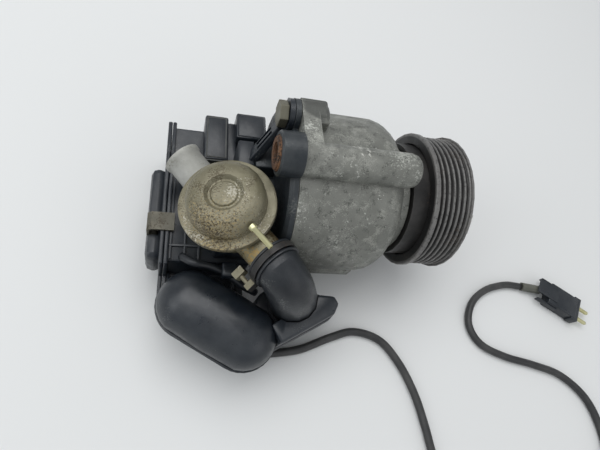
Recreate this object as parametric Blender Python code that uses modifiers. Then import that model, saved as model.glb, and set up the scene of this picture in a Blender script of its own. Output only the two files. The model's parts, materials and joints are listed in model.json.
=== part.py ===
"""Belt-driven air pump with a magnetic clutch pulley, an intake filter, a shut-off valve and a silencer.

The origin is the middle of the pump's foot, on the surface it stands on. +X runs along the pump shaft
towards the pulley, +Y to the back and +Z up. Sizes are millimetres, and MM turns them into metres.
"""

import math

import bmesh
import bpy
from mathutils import Matrix, Vector

MM = 0.001

# Clearances
GAP = 0.3  # between fixed pieces that touch
RUNNING = 0.4  # between pieces that turn or slide past each other
AIR_GAP = 0.6  # between the pulley's friction face and the armature

# Pump: overall sizes
BARREL_R = 49.0
BARREL_RISE = 9.0  # underside of the barrel above the floor
AXIS_H = BARREL_R + BARREL_RISE
BARREL_REAR = -36.0  # joint face with the rear cover
BARREL_L = 50.0  # straight part of the barrel
SHOULDER_L = 15.0
SHOULDER_R = 39.5
FLANGE_R = 33.5
FLANGE_L = 7.5
NOSE_R = 17.5
TAPER_START = 45.0  # where the barrel's lower front begins to fall away, from its rear
TAPER_SLOPE = math.radians(27)
TAPER_ANGLE = 220.0  # from straight up, towards the back
BORE_R = 41.0
BORE_DEPTH = 46.0
ECCENTRICITY = 4.6  # bore centre below the shaft
WALL = 2.0  # plastic walls
SHEET = 1.2  # pressed steel

# Foot and bosses on the casting
FOOT_HALF_X = 28.0
FOOT_HALF_Y = 26.0
FOOT_H = 20.0
TUBE_Y = -7.0
TUBE_RISE = BARREL_R + 1.0  # mounting hole above the shaft
TUBE_BOSS_R = 12.0  # on the rear cover
TUBE_R = 9.8  # on the casting, a little off the hole
TUBE_OFF_Y = -1.5
TUBE_OFF_Z = -0.6
TUBE_BORE_R = 5.3
TUBE_BACK_SET = 6.0  # its front end behind the flange's face
TUBE_REAR = -49.0
BUSH_R = 9.5
BUSH_L = 13.0
LUG_R = 9.2
LUG_L = 16.0
LUG_SPOTS = ((2.3, 23.0), (1.5, 129.0), (1.5, 219.0))  # how far beyond the barrel, and angle from straight up to the back
LUGS = tuple((BARREL_R + beyond, angle) for beyond, angle in LUG_SPOTS)
LUG_WEB_L = 9.5  # plate between the upper lug and the tube

# Fasteners
BOLT_R = 4.0
BOLT_HEAD_AF = 13.0
BOLT_HEAD_H = 4.8
BOLT_L = 12.5

# Rear cover
COVER_T = 4.7
COVER_CHAMFER = 2.0
EAR_T = 3.0
VANE_BOSS_R = 12.0
VANE_BOSS_L = 5.0
TOWER_LO = (-54.0, 3.0, 46.0)
TOWER_HI = (-41.5, 20.0, 76.0)
PORT_R = 6.5

# Shaft, rotor and vanes
SHAFT_R = 7.5
SHAFT_FRONT_R = 6.0
SHAFT_END = 19.5  # beyond the nose
ROTOR_R = 36.0
ROTOR_WALL = 6.0
ROTOR_DISC = 8.0
VANE_T = 3.0
VANE_SHAFT_R = 6.0
VANE_HUB_R = 9.5

# Bearings: bore radius, outer radius and width
REAR_BEARING = (7.5, 17.5, 11.0)
FRONT_BEARING = (7.5, 14.0, 7.0)
PULLEY_BEARING = (17.5, 27.0, 15.0)
RACE_T = 2.6  # thickness of a bearing ring
SEAL_L = 6.0

# Clutch and pulley
PULLEY_R = 44.0
PULLEY_OUT = 11.5  # its rear edge ahead of the casting's flange
PULLEY_W = 26.0
RIM_INNER_R = 37.2
GROOVE_PITCH = 3.56
GROOVE_COUNT = 6
GROOVE_DEPTH = 2.7
CREST_DROP = 1.4  # rib crests below the pulley's flanges
REAR_BAND = 2.8
WEB_T = 5.0
COIL_OUT = 1.0  # its rear face ahead of the flange
CIRCLIP_L = 1.7
COIL_PLATE_T = 2.5
COIL_R = 36.4
COIL_WALL = 1.6
ARMATURE_T = 4.0
ARMATURE_R = 41.0
ARMATURE_INNER_R = 24.0
HUB_R = 13.0
HUB_FLANGE_R = 20.0
LEAF_T = 1.0
LEAF_W = 12.0
RIVET_CIRCLE_R = 35.5
RIVET_R = 3.0
NUT_AF = 17.0
NUT_H = 6.5

# Intake filter housing: its outline across the pump axis, and the blocks on it
HOUSING_SEAM = -101.5
HOUSING_FRONT = -52.0
HOUSING_FLOOR = 9.0
SHELF_H = 20.0
HOUSING_TOP = 44.0
HOUSING_BACK = 45.0
SHELF_FRONT = -66.0
HOUSING_FRONT_Y = -46.0
SEAM_LIP = 2.4
SEAM_LIP_T = 2.4
CAP_DEPTH = 8.0
CAP_LO = (-44.0, 14.0)  # y and z of the cap's bulge, low corner
CAP_HI = (16.0, 41.0)
BLOCKS = (
    # name, low corner, high corner
    ("tall_block", (-82.0, 16.0, 40.0), (-67.5, 48.0, 58.0)),
    ("narrow_block", (-69.0, 17.0, 40.0), (-62.0, 46.0, 55.0)),
    ("end_block", (-63.0, 31.0, 40.0), (-44.0, 49.5, 62.0)),
)
FILTER_R = 18.0
FILTER_INNER_R = 11.0
FILTER_L = 40.0

# Arm and clip on the filter housing
ARM_T = 5.0
ARM_W = 8.6
ARM_TAB_T = 2.7
ARM_X = -43.7
ARM_FROM_LUG = (-1.0, -9.4)  # y and z of its upper end from the upper lug's centre
ARM_END = (-54.2, 11.0, 76.3)  # on the port tower and the neck that meets it
CLIP_W = 11.0
CLIP_T = 1.4
CLIP_Y = -23.0
CLIP_PIN_R = 1.5
CLIP_PIN_Z = 36.0
CLIP_SINK = 3.2  # pin axis behind the cap's face
CLIP_EYE_T = 1.6
CLIP_SIDE = 0.6  # gap on each side of the clip
CLIP_HOOK_GAP = 0.9  # so that the hook swings clear of the seam's lip
CLIP_HOOK_DROP = 0.8
CLIP_PIN_HOLD = 2.6  # how far the pin runs into the cap on each side

# Shut-off valve: its centre, the lean of its axis, and its pipes' heading
VALVE_AT = (-70.5, -26.5, 83.5)
VALVE_LEAN = math.radians(-16.2)
VALVE_R = 26.0
DOME_R = 21.2
DOME_H = 15.0
DOME_RING_R = 7.8
CAN_R = 18.0
CAN_DEPTH = 29.0
DIAPHRAGM_T = 1.0
VALVE_TRAVEL = 3.5
POPPET_R = 10.0
STEM_R = 2.5
STUB_Z = 65.2  # the pipes' heights where they cross the valve's axis
STUB_HEADING = (-0.633, 0.775, 0.0)
STUB_R = 10.2
STUB_REACH = 48.0
PIPE_WALL = 1.6
OUTLET_Z = 67.0
OUTLET_HEADING = (0.554, -0.781, 0.287)
OUTLET_R = 10.5
OUTLET_REACH = 38.0
NIPPLE_R = 1.45
NIPPLE_L = 15.0
NIPPLE_RISE = 10.0  # above the diaphragm
NIPPLE_HEADING = (0.62, -0.785)

# Rubber elbow, duct and silencer
ELBOW_R = 13.0
ELBOW_WALL = 2.2
ELBOW_FLARE = 0.23  # growth of the radius along the lower part
ELBOW_ROUTE = (
    (-46.9, -53.1, 76.8),
    (-42.8, -58.9, 78.9),
    (-37.2, -65.0, 74.5),
    (-31.6, -67.8, 63.0),
    (-27.4, -66.8, 50.0),
    (-24.8, -65.2, 38.0),
)
CLAMP_SPAN = (1.6, 5.2)
EAR_SIDE = (-0.653, -0.596, -0.467)  # which way the clamp's ears stand out
DUCT_Z = 12.0
DUCT_H = 18.0
DUCT_OUTLINE = ((-47.0, -101.0), (-30.5, -92.5), (2.0, -76.0), (7.5, -70.0), (4.5, -63.0), (-3.0, -59.5), (-12.0, -56.5), (-38.0, -56.5), (-44.0, -61.0), (-52.0, -90.0))
ARM_WALL_TOP = 50.0  # the duct's raised wall beside the elbow
ARM_WALL_OUTLINE = ((-40.5, -83.0), (-10.5, -64.8), (-1.0, -65.5), (1.5, -70.0), (-1.8, -76.5), (-35.0, -93.6))
SILENCER_AT = (-69.5, -78.2, 38.0)
SILENCER_HEADING = (0.857, -0.515)
SILENCER_L = 74.0
SILENCER_W = 38.6
SILENCER_H = 34.0
SILENCER_SPLIT = -4.0  # parting face, from the middle
SILENCER_WALL = 2.2

# Cables
LEAD_R = 2.75
LEAD_ROUTE = (
    (44.9, 31.5, 33.5),
    (43.8, 34.0, 24.0),
    (38.0, 36.0, 10.5),
    (27.0, 36.5, 4.2),
    (8.0, 36.0, 3.4),
    (-14.0, 36.0, 3.4),
    (-33.0, 27.0, 3.4),
    (-43.0, 2.0, 3.4),
    (-52.0, -28.0, 3.4),
    (-64.0, -52.0, 3.4),
    (-71.0, -70.0, 3.4),
    (-69.0, -86.0, 3.4),
    (-59.0, -93.0, 3.6),
    (-50.0, -93.0, 3.8),
)
CORD_R = 2.75
CORD_ROUTE = (
    (-37.6, -92.9, 3.8),
    (-29.1, -92.5, 3.3),
    (-10.6, -90.2, 2.95),
    (11.3, -82.6, 2.95),
    (29.5, -78.6, 2.95),
    (48.8, -85.0, 2.95),
    (62.0, -101.7, 2.95),
    (70.5, -121.7, 2.95),
    (74.9, -140.9, 2.95),
    (78.0, -160.0, 2.95),
    (84.0, -182.0, 2.95),
    (99.0, -204.0, 2.95),
    (124.0, -219.0, 2.95),
    (155.0, -224.0, 2.95),
    (186.0, -216.0, 2.95),
    (209.0, -197.0, 2.95),
    (222.0, -173.0, 2.95),
    (224.0, -150.0, 2.95),
    (217.0, -128.0, 2.95),
    (199.0, -111.7, 2.95),
    (176.0, -103.5, 2.95),
    (151.5, -97.0, 2.95),
    (132.0, -87.5, 2.95),
    (125.0, -72.5, 2.95),
    (131.5, -56.3, 2.95),
    (146.5, -45.5, 2.95),
    (166.0, -40.6, 3.0),
    (181.0, -41.6, 3.4),
)
SLEEVE_R = 3.5
SLEEVE_ENDS = ((181.6, -41.7, 3.9), (197.6, -44.5, 4.9))
PLUG_AT = (204.4, -47.4, 5.3)
PLUG_HEADING = (0.855, -0.518)
PLUG_L = 29.0
PLUG_W = 18.5
PLUG_T = 10.0
PLUG_PIN_R = 1.6
PLUG_PIN_L = 11.5
PLUG_PIN_PITCH = 9.6
GRIP_LO = (-47.5, -98.0, 0.5)
GRIP_HI = (-38.2, -88.0, 11.7)

TURN_STEPS = 20
LARGE_STEPS = 32
SMALL_STEPS = 12
SMOOTH_ANGLE = math.radians(35)


def clear_scene():
    for obj in list(bpy.data.objects):
        bpy.data.objects.remove(obj, do_unlink=True)


clear_scene()
PARTS = bpy.data.collections.new("air_pump")
CUTTERS = bpy.data.collections.new("cutters")
bpy.context.scene.collection.children.link(PARTS)
bpy.context.scene.collection.children.link(CUTTERS)
CUTTERS.hide_render = True


def finish(name, colour, roughness, metallic):
    """A Principled material of one colour."""
    material = bpy.data.materials.new(name)
    material.use_nodes = True
    shader = material.node_tree.nodes["Principled BSDF"]
    shader.inputs["Base Color"].default_value = (*colour, 1.0)
    shader.inputs["Roughness"].default_value = roughness
    shader.inputs["Metallic"].default_value = metallic
    return material


def along_x(y=0.0, z=AXIS_H, x=0.0):
    """A place whose local Z runs along +X: sizes along local Z are then X positions."""
    return Matrix.Translation(Vector((x, y, z)) * MM) @ Matrix.Rotation(math.radians(90), 4, "Y")


def heading(start, direction):
    """A place at start whose local Z runs along direction."""
    turn = Vector(direction).to_track_quat("Z", "Y").to_matrix().to_4x4()
    return Matrix.Translation(Vector(start) * MM) @ turn


def aimed(start, forward, side):
    """A place at start with local Z along forward and local X as near to side as it can be."""
    forward = Vector(forward).normalized()
    across = forward.cross(Vector(side)).normalized()
    turn = Matrix((across.cross(forward), across, forward)).transposed().to_4x4()
    return Matrix.Translation(Vector(start) * MM) @ turn


SHAFT_AXIS = along_x()
BORE_AXIS = along_x(z=AXIS_H - ECCENTRICITY)
VALVE_AXIS = Matrix.Translation(Vector(VALVE_AT) * MM) @ Matrix.Rotation(VALVE_LEAN, 4, "Y")


def place(name, mesh, material, where, cutter):
    obj = bpy.data.objects.new(name, mesh)
    obj.matrix_world = where
    if cutter:
        CUTTERS.objects.link(obj)
        obj.hide_render = True
        obj.display_type = "WIRE"
    else:
        PARTS.objects.link(obj)
        mesh.materials.append(material)
    return obj


def mesh_of(bm, name, smooth=True):
    mesh = bpy.data.meshes.new(name)
    bmesh.ops.recalc_face_normals(bm, faces=bm.faces)
    bm.to_mesh(mesh)
    bm.free()
    if smooth:
        mesh.shade_smooth()
        mesh.set_sharp_from_angle(angle=SMOOTH_ANGLE)
    return mesh


def turned(name, profile, material=None, where=SHAFT_AXIS, steps=TURN_STEPS, cutter=False):
    """A solid of revolution from (place along the axis, radius) points, outer side first, from high to low."""
    on_axis = profile[0][1] == 0.0 and profile[-1][1] == 0.0
    points = [(radius * MM, 0.0, along * MM) for along, radius in profile]
    edges = [(i, i + 1) for i in range(len(points) - 1)]
    if not on_axis:
        edges.append((len(points) - 1, 0))
    mesh = bpy.data.meshes.new(name)
    mesh.from_pydata(points, edges, [])
    obj = place(name, mesh, material, where, cutter)
    screw = obj.modifiers.new("turn", "SCREW")
    screw.axis = "Z"
    screw.steps = steps
    screw.render_steps = steps
    screw.use_merge_vertices = True
    screw.merge_threshold = 0.00001
    screw.use_smooth_shade = True
    return obj


def ring(name, low, high, inner, outer, material=None, where=SHAFT_AXIS, steps=TURN_STEPS, chamfer=0.0, cutter=False):
    """A plain ring between two places on the axis, or a disc when inner is nothing."""
    top = [(high, outer)]
    bottom = [(low, outer)]
    if chamfer:
        top = [(high, outer - chamfer), (high - chamfer, outer)]
        bottom = [(low + chamfer, outer), (low, outer - chamfer)]
    profile = top + bottom
    if inner:
        profile += [(low, inner), (high, inner)]
    else:
        profile = [(high, 0.0)] + profile + [(low, 0.0)]
    return turned(name, profile, material, where, steps, cutter)


def block(name, low, high, material=None, where=None, bevel=0.0, cutter=False):
    """A box between two corners, with its edges rounded by bevel."""
    low, high = Vector(low) * MM, Vector(high) * MM
    bm = bmesh.new()
    bmesh.ops.create_cube(bm, size=1.0)
    bmesh.ops.scale(bm, vec=high - low, verts=bm.verts)
    bmesh.ops.translate(bm, vec=(low + high) / 2, verts=bm.verts)
    if bevel:
        bmesh.ops.bevel(bm, geom=bm.edges, offset=bevel * MM, segments=2, profile=0.5, affect="EDGES")
    return place(name, mesh_of(bm, name), material, where or Matrix.Identity(4), cutter)


def prism(name, outline, low, high, material=None, where=None, bevel=0.0, cutter=False):
    """A flat outline of (x, y) points pulled from low to high along local Z."""
    bm = bmesh.new()
    bottom = bm.faces.new([bm.verts.new((x * MM, y * MM, low * MM)) for x, y in outline])
    made = bmesh.ops.extrude_face_region(bm, geom=[bottom])
    top = [item for item in made["geom"] if isinstance(item, bmesh.types.BMVert)]
    bmesh.ops.translate(bm, vec=(0, 0, (high - low) * MM), verts=top)
    if bevel:
        bmesh.ops.bevel(bm, geom=bm.edges, offset=bevel * MM, segments=2, profile=0.5, affect="EDGES")
    return place(name, mesh_of(bm, name), material, where or Matrix.Identity(4), cutter)


def smooth_route(route, spacing):
    """Points spaced along the smooth curve through a route's points."""
    points = [Vector(p) for p in route]
    points = [2 * points[0] - points[1]] + points + [2 * points[-1] - points[-2]]
    found = []
    for a, b, c, d in zip(points, points[1:], points[2:], points[3:]):
        count = max(1, round((c - b).length / spacing))
        for i in range(count):
            t = i / count
            found.append(0.5 * (2 * b + (c - a) * t + (2 * a - 5 * b + 4 * c - d) * t**2 + (3 * b - a - 3 * c + d) * t**3))
    found.append(points[-2])
    return found


def tube(name, points, radius, material, sides=3, radii=None):
    """A curve object with a round section and filled ends, through points."""
    curve = bpy.data.curves.new(name, "CURVE")
    curve.dimensions = "3D"
    curve.bevel_depth = radius * MM
    curve.bevel_resolution = sides
    curve.use_fill_caps = True
    spline = curve.splines.new("POLY")
    spline.points.add(len(points) - 1)
    for i, point in enumerate(points):
        spline.points[i].co = (*(Vector(point) * MM), 1.0)
        if radii:
            spline.points[i].radius = radii[i]
    curve.materials.append(material)
    obj = bpy.data.objects.new(name, curve)
    PARTS.objects.link(obj)
    return obj


def as_mesh(obj, cutter=False):
    """Turns a tube into a mesh with welded ends, so that it can be cut or can cut."""
    graph = bpy.context.evaluated_depsgraph_get()
    mesh = bpy.data.meshes.new_from_object(obj.evaluated_get(graph))
    bm = bmesh.new()
    bm.from_mesh(mesh)
    bmesh.ops.remove_doubles(bm, verts=bm.verts, dist=0.00001)
    bmesh.ops.recalc_face_normals(bm, faces=bm.faces)
    bm.to_mesh(mesh)
    bm.free()
    name, where, material = obj.name, obj.matrix_world.copy(), mesh.materials[0]
    bpy.data.objects.remove(obj, do_unlink=True)
    mesh.materials.clear()
    return place(name, mesh, material, where, cutter)


def change(obj, tool, operation):
    modifier = obj.modifiers.new(tool.name, "BOOLEAN")
    modifier.operation = operation
    modifier.solver = "EXACT"
    modifier.object = tool


def cut(obj, *tools):
    for tool in tools:
        change(obj, tool, "DIFFERENCE")


def join(obj, *tools):
    for tool in tools:
        change(obj, tool, "UNION")


def around_axis(radius, angle):
    """The (y, z) place at a radius from the shaft, at an angle from straight up towards the back."""
    turn = math.radians(angle)
    return radius * math.sin(turn), AXIS_H + radius * math.cos(turn)


ALUMINIUM = finish("cast_aluminium", (0.42, 0.42, 0.40), 0.5, 0.8)
BLACK_CAST = finish("black_coated_casting", (0.035, 0.04, 0.045), 0.5, 0.2)
PLASTIC = finish("black_plastic", (0.045, 0.048, 0.055), 0.45, 0.0)
ZINC = finish("olive_zinc", (0.33, 0.31, 0.22), 0.5, 0.7)
YELLOW_ZINC = finish("yellow_zinc", (0.55, 0.45, 0.22), 0.45, 0.8)
STUB_ALLOY = finish("oxidised_alloy", (0.55, 0.55, 0.52), 0.6, 0.6)
STEEL = finish("bearing_steel", (0.55, 0.55, 0.56), 0.3, 1.0)
DARK_STEEL = finish("dark_steel", (0.12, 0.12, 0.12), 0.45, 0.7)
RUSTY_STEEL = finish("rusty_steel", (0.35, 0.2, 0.12), 0.8, 0.4)
BRASS = finish("brass", (0.75, 0.62, 0.3), 0.3, 1.0)
COPPER = finish("coil_winding", (0.45, 0.2, 0.1), 0.4, 0.6)
RUBBER = finish("rubber", (0.03, 0.03, 0.033), 0.6, 0.0)
PAPER = finish("filter_paper", (0.7, 0.62, 0.42), 0.9, 0.0)
CABLE = finish("cable_jacket", (0.04, 0.04, 0.042), 0.5, 0.0)
SLEEVE = finish("grey_sleeve", (0.16, 0.16, 0.13), 0.5, 0.0)


# Pump casting and rear cover ------------------------------------------------

BARREL_FRONT = BARREL_REAR + BARREL_L
SHOULDER_FRONT = BARREL_FRONT + SHOULDER_L
FLANGE_FRONT = SHOULDER_FRONT + FLANGE_L
PULLEY_REAR = FLANGE_FRONT + PULLEY_OUT
COIL_REAR = FLANGE_FRONT + COIL_OUT
BEARING_REAR = PULLEY_REAR + 1.0
CIRCLIP_REAR = BEARING_REAR + PULLEY_BEARING[2] + GAP
NOSE_FRONT = CIRCLIP_REAR + CIRCLIP_L + 0.5
SHAFT_FRONT = NOSE_FRONT + SHAFT_END
TUBE_FRONT = FLANGE_FRONT - TUBE_BACK_SET
BORE_FRONT = BARREL_REAR + BORE_DEPTH
REAR_SEAT_FRONT = BORE_FRONT + SEAL_L + REAR_BEARING[2] + 3 * GAP
TUBE_Z = AXIS_H + TUBE_RISE
COVER_REAR = BARREL_REAR - GAP - COVER_T
EAR_SEAT = BARREL_REAR - GAP - EAR_T - GAP  # what is clamped under the cover's bolts lies behind this


# A prism's outline turned to lie across the shaft: local X to Y, Y to Z and Z to X.
SIDEWAYS = Matrix(((0, 0, 1, 0), (1, 0, 0, 0), (0, 1, 0, 0), (0, 0, 0, 1)))


def lug_web_outline():
    """The plate that joins the mounting tube to the upper lug, as (y, z) points."""
    lug_y, lug_z = around_axis(*LUGS[0])
    low = TUBE_Z - 1.5 * TUBE_BOSS_R
    left = TUBE_Y - 0.6 * TUBE_BOSS_R
    return (
        (left, low),
        (lug_y + 0.3 * LUG_R, low),
        (lug_y + 0.6 * LUG_R, lug_z),
        (lug_y, lug_z + 0.93 * LUG_R),
        (TUBE_Y + 1.0, TUBE_Z + 0.93 * TUBE_R),
        (TUBE_Y - 0.5 * TUBE_BOSS_R, TUBE_Z + 0.6 * TUBE_R),
        (left, TUBE_Z),
    )


def make_casting():
    shoulder = [(BARREL_FRONT + 0.42 * SHOULDER_L, BARREL_R - 1.5), (BARREL_FRONT + 0.78 * SHOULDER_L, BARREL_R - 5.0)]
    casting = turned(
        "pump_casting",
        [(NOSE_FRONT, 0.0), (NOSE_FRONT, NOSE_R), (FLANGE_FRONT, NOSE_R), (FLANGE_FRONT, FLANGE_R)]
        + [(SHOULDER_FRONT, FLANGE_R), (SHOULDER_FRONT, SHOULDER_R)]
        + shoulder[::-1]
        + [(BARREL_FRONT, BARREL_R), (BARREL_REAR - 1.0, BARREL_R), (BARREL_REAR - 1.0, 0.0)],
        ALUMINIUM,
        steps=LARGE_STEPS,
    )
    taper_y, taper_z = around_axis(BARREL_R, TAPER_ANGLE)
    outward = Vector((0.0, taper_y, taper_z - AXIS_H)).normalized()
    slope = outward * math.cos(TAPER_SLOPE) + Vector((math.sin(TAPER_SLOPE), 0.0, 0.0))
    reach = 2 * BARREL_R
    cut(
        casting,
        block(
            "taper_cut",
            (-reach, -reach, 0.0),
            (reach, reach, BARREL_R),
            where=heading((BARREL_REAR + TAPER_START, taper_y, taper_z), slope),
            cutter=True,
        ),
    )
    lug_y, lug_z = around_axis(*LUGS[0])
    lug_box = ((lug_y - LUG_R + 0.7, lug_z - LUG_R), (lug_y + LUG_R - 1.8, lug_z + LUG_R - 1.6))
    tube_start = BARREL_REAR - 1.5  # the forms run past the joint face, and one cut then makes it flat
    end = TUBE_FRONT - 0.45 * TUBE_R
    join(
        casting,
        turned(
            "tube_form",
            [(TUBE_FRONT, 0.0), (TUBE_FRONT, 0.8 * TUBE_R), (TUBE_FRONT - 1.5, 0.92 * TUBE_R), (end, TUBE_R)]
            + [(tube_start, TUBE_R), (tube_start, 0.0)],
            where=along_x(TUBE_Y + TUBE_OFF_Y, TUBE_Z + TUBE_OFF_Z),
            steps=TURN_STEPS,
            cutter=True,
        ),
        block("tube_web", (tube_start, TUBE_Y - 8, AXIS_H + 30), (BARREL_FRONT, TUBE_Y + 8, TUBE_Z - 6), cutter=True),
        block("rear_pad", (BARREL_REAR - 2.0, -5, AXIS_H + 25), (BARREL_REAR + 11, 30, AXIS_H + 48.0), bevel=1.5, cutter=True),
        prism("lug_web", lug_web_outline(), tube_start, BARREL_REAR + LUG_WEB_L, where=SIDEWAYS, cutter=True),
        block("upper_lug_form", (tube_start - 1, *lug_box[0]), (BARREL_REAR + LUG_L - 0.4, *lug_box[1]), bevel=1.8, cutter=True),
        block("front_ledge", (-17, -44, 24), (19, -28, 33), bevel=1.2, cutter=True),
        block(
            "foot_form",
            (-FOOT_HALF_X, -FOOT_HALF_Y, 0.0),
            (FOOT_HALF_X, FOOT_HALF_Y, FOOT_H),
            bevel=1.5,
            cutter=True,
        ),
    )
    for number, lug in enumerate(LUGS, 1):
        y, z = around_axis(*lug)
        lug_front = BARREL_REAR + LUG_L
        join(
            casting,
            turned(
                f"lug_form_{number}",
                [(lug_front, 0.0), (lug_front, 0.75 * LUG_R), (lug_front - 2.5, LUG_R), (tube_start - 1, LUG_R), (tube_start - 1, 0.0)],
                where=along_x(y, z),
                steps=SMALL_STEPS,
                cutter=True,
            ),
        )
    ends = 3.0  # how far a cutter runs past the face it opens
    cut(
        casting,
        block("rear_face_cut", (BARREL_REAR - 9, -reach, -reach), (BARREL_REAR, reach, 2 * reach), cutter=True),
        ring("bore_cut", BARREL_REAR - ends, BORE_FRONT, 0, BORE_R, where=BORE_AXIS, steps=LARGE_STEPS, cutter=True),
        turned(
            "shaft_way_cut",
            [(NOSE_FRONT + ends, 0.0), (NOSE_FRONT + ends, FRONT_BEARING[1] + GAP), (FRONT_SEAT, FRONT_BEARING[1] + GAP)]
            + [(FRONT_SEAT, SHAFT_R + 3.0), (REAR_SEAT_FRONT, SHAFT_R + 3.0), (REAR_SEAT_FRONT, REAR_BEARING[1] + GAP)]
            + [(BORE_FRONT - ends, REAR_BEARING[1] + GAP), (BORE_FRONT - ends, 0.0)],
            steps=TURN_STEPS,
            cutter=True,
        ),
        ring("tube_cut", BARREL_REAR - ends, TUBE_FRONT + ends, 0, TUBE_BORE_R, where=along_x(TUBE_Y, TUBE_Z), steps=SMALL_STEPS, cutter=True),
    )
    for number, lug in enumerate(LUGS, 1):
        y, z = around_axis(*lug)
        depth = BARREL_REAR + BOLT_L
        cut(casting, ring(f"lug_cut_{number}", BARREL_REAR - ends, depth, 0, BOLT_R + GAP, where=along_x(y, z), steps=SMALL_STEPS, cutter=True))
    return casting


FRONT_SEAT = NOSE_FRONT - FRONT_BEARING[2] - 3.0
VANE_SHAFT_REAR = COVER_REAR - VANE_BOSS_L + 2.0


def make_rear_cover():
    face = BARREL_REAR - GAP
    past = face + 1.0  # the forms run past the joint face, and one cut then makes it flat
    cover = turned(
        "rear_cover",
        [(past, 0.0), (past, BARREL_R), (COVER_REAR + COVER_CHAMFER, BARREL_R), (COVER_REAR, BARREL_R - COVER_CHAMFER)]
        + [(COVER_REAR, 0.0)],
        BLACK_CAST,
        steps=LARGE_STEPS,
    )
    join(
        cover,
        ring("vane_boss_form", COVER_REAR - VANE_BOSS_L, COVER_REAR + 1, 0, VANE_BOSS_R, where=BORE_AXIS, steps=TURN_STEPS, cutter=True),
        ring("tube_boss_form", TUBE_REAR, past + 0.5, 0, TUBE_BOSS_R, where=along_x(TUBE_Y, TUBE_Z), steps=TURN_STEPS, chamfer=0.8, cutter=True),
        block("port_tower_form", TOWER_LO, (COVER_REAR + 1, *TOWER_HI[1:]), bevel=1.2, cutter=True),
    )
    for number, lug in enumerate(LUGS, 1):
        y, z = around_axis(*lug)
        join(cover, ring(f"ear_form_{number}", face - EAR_T, past + 0.5, 0, LUG_R, where=along_x(y, z), steps=SMALL_STEPS, cutter=True))
    ends = 1.0
    reach = 2 * BARREL_R
    cut(cover, block("joint_face_cut", (face, -reach, -reach), (face + 9, reach, 3 * reach), cutter=True))
    tower_y = (TOWER_LO[1] + TOWER_HI[1]) / 2
    cut(
        cover,
        ring("vane_shaft_cut", VANE_SHAFT_REAR - GAP, face + ends, 0, VANE_SHAFT_R + GAP, where=BORE_AXIS, steps=TURN_STEPS, cutter=True),
        ring("bush_cut", TUBE_REAR - ends, face + ends, 0, BUSH_R + GAP, where=along_x(TUBE_Y, TUBE_Z), steps=LARGE_STEPS, cutter=True),
        ring("inlet_cut", TOWER_LO[0] - ends, face + ends, 0, PORT_R, where=along_x(tower_y, INLET_Z), steps=SMALL_STEPS, cutter=True),
        ring("outlet_cut", COVER_REAR - ends, face + ends, 0, PORT_R, where=along_x(-tower_y - 10, INLET_Z), steps=SMALL_STEPS, cutter=True),
    )
    for number, lug in enumerate(LUGS, 1):
        where = along_x(*around_axis(*lug))
        cut(
            cover,
            ring(f"ear_cut_{number}", COVER_REAR - 9, face + ends, 0, BOLT_R + GAP, where=where, steps=SMALL_STEPS, cutter=True),
            ring(f"head_cut_{number}", COVER_REAR - 9, face - EAR_T, 0, LUG_R + GAP, where=where, steps=SMALL_STEPS, cutter=True),
        )
    return cover


INLET_Z = 62.0


def hexagon(across_flats):
    radius = across_flats / math.sqrt(3)
    return [(radius * math.cos(math.radians(60 * i)), radius * math.sin(math.radians(60 * i))) for i in range(6)]


def make_bolts():
    for number, lug in enumerate(LUGS, 1):
        where = along_x(*around_axis(*lug))
        seat = EAR_SEAT - (ARM_TAB_T + GAP if number == 1 else 0.0)
        bolt = prism(f"cover_bolt_{number}", hexagon(BOLT_HEAD_AF), seat - BOLT_HEAD_H, seat, ZINC, where)
        join(bolt, ring(f"bolt_shank_{number}", seat - 1, EAR_SEAT + BOLT_L - 1, 0, BOLT_R, where=where, steps=16, cutter=True))


def make_bush():
    rear = TUBE_REAR - 0.6
    ring("mount_bush", rear, rear + BUSH_L, TUBE_BORE_R, BUSH_R, RUSTY_STEEL, along_x(TUBE_Y, TUBE_Z), TURN_STEPS, 0.5)


# Shaft, rotor, vanes and bearings ---------------------------------------------

ROTOR_FRONT = BORE_FRONT - RUNNING
ROTOR_REAR = BARREL_REAR + RUNNING


def make_bearing(name, low, size):
    """The inner ring, the outer ring and the ring of balls between them, in their cage."""
    inner, outer, width = size
    high = low + width
    ring(f"{name}_inner_ring", low, high, inner + GAP, inner + RACE_T, STEEL, steps=TURN_STEPS)
    ring(f"{name}_outer_ring", low, high, outer - RACE_T, outer, STEEL, steps=TURN_STEPS)
    middle = (low + high) / 2
    gap_low, gap_high = inner + RACE_T + GAP, outer - RACE_T - GAP
    ring(f"{name}_balls", middle - 0.3 * width, middle + 0.3 * width, gap_low, gap_high, STEEL, steps=TURN_STEPS)


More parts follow.
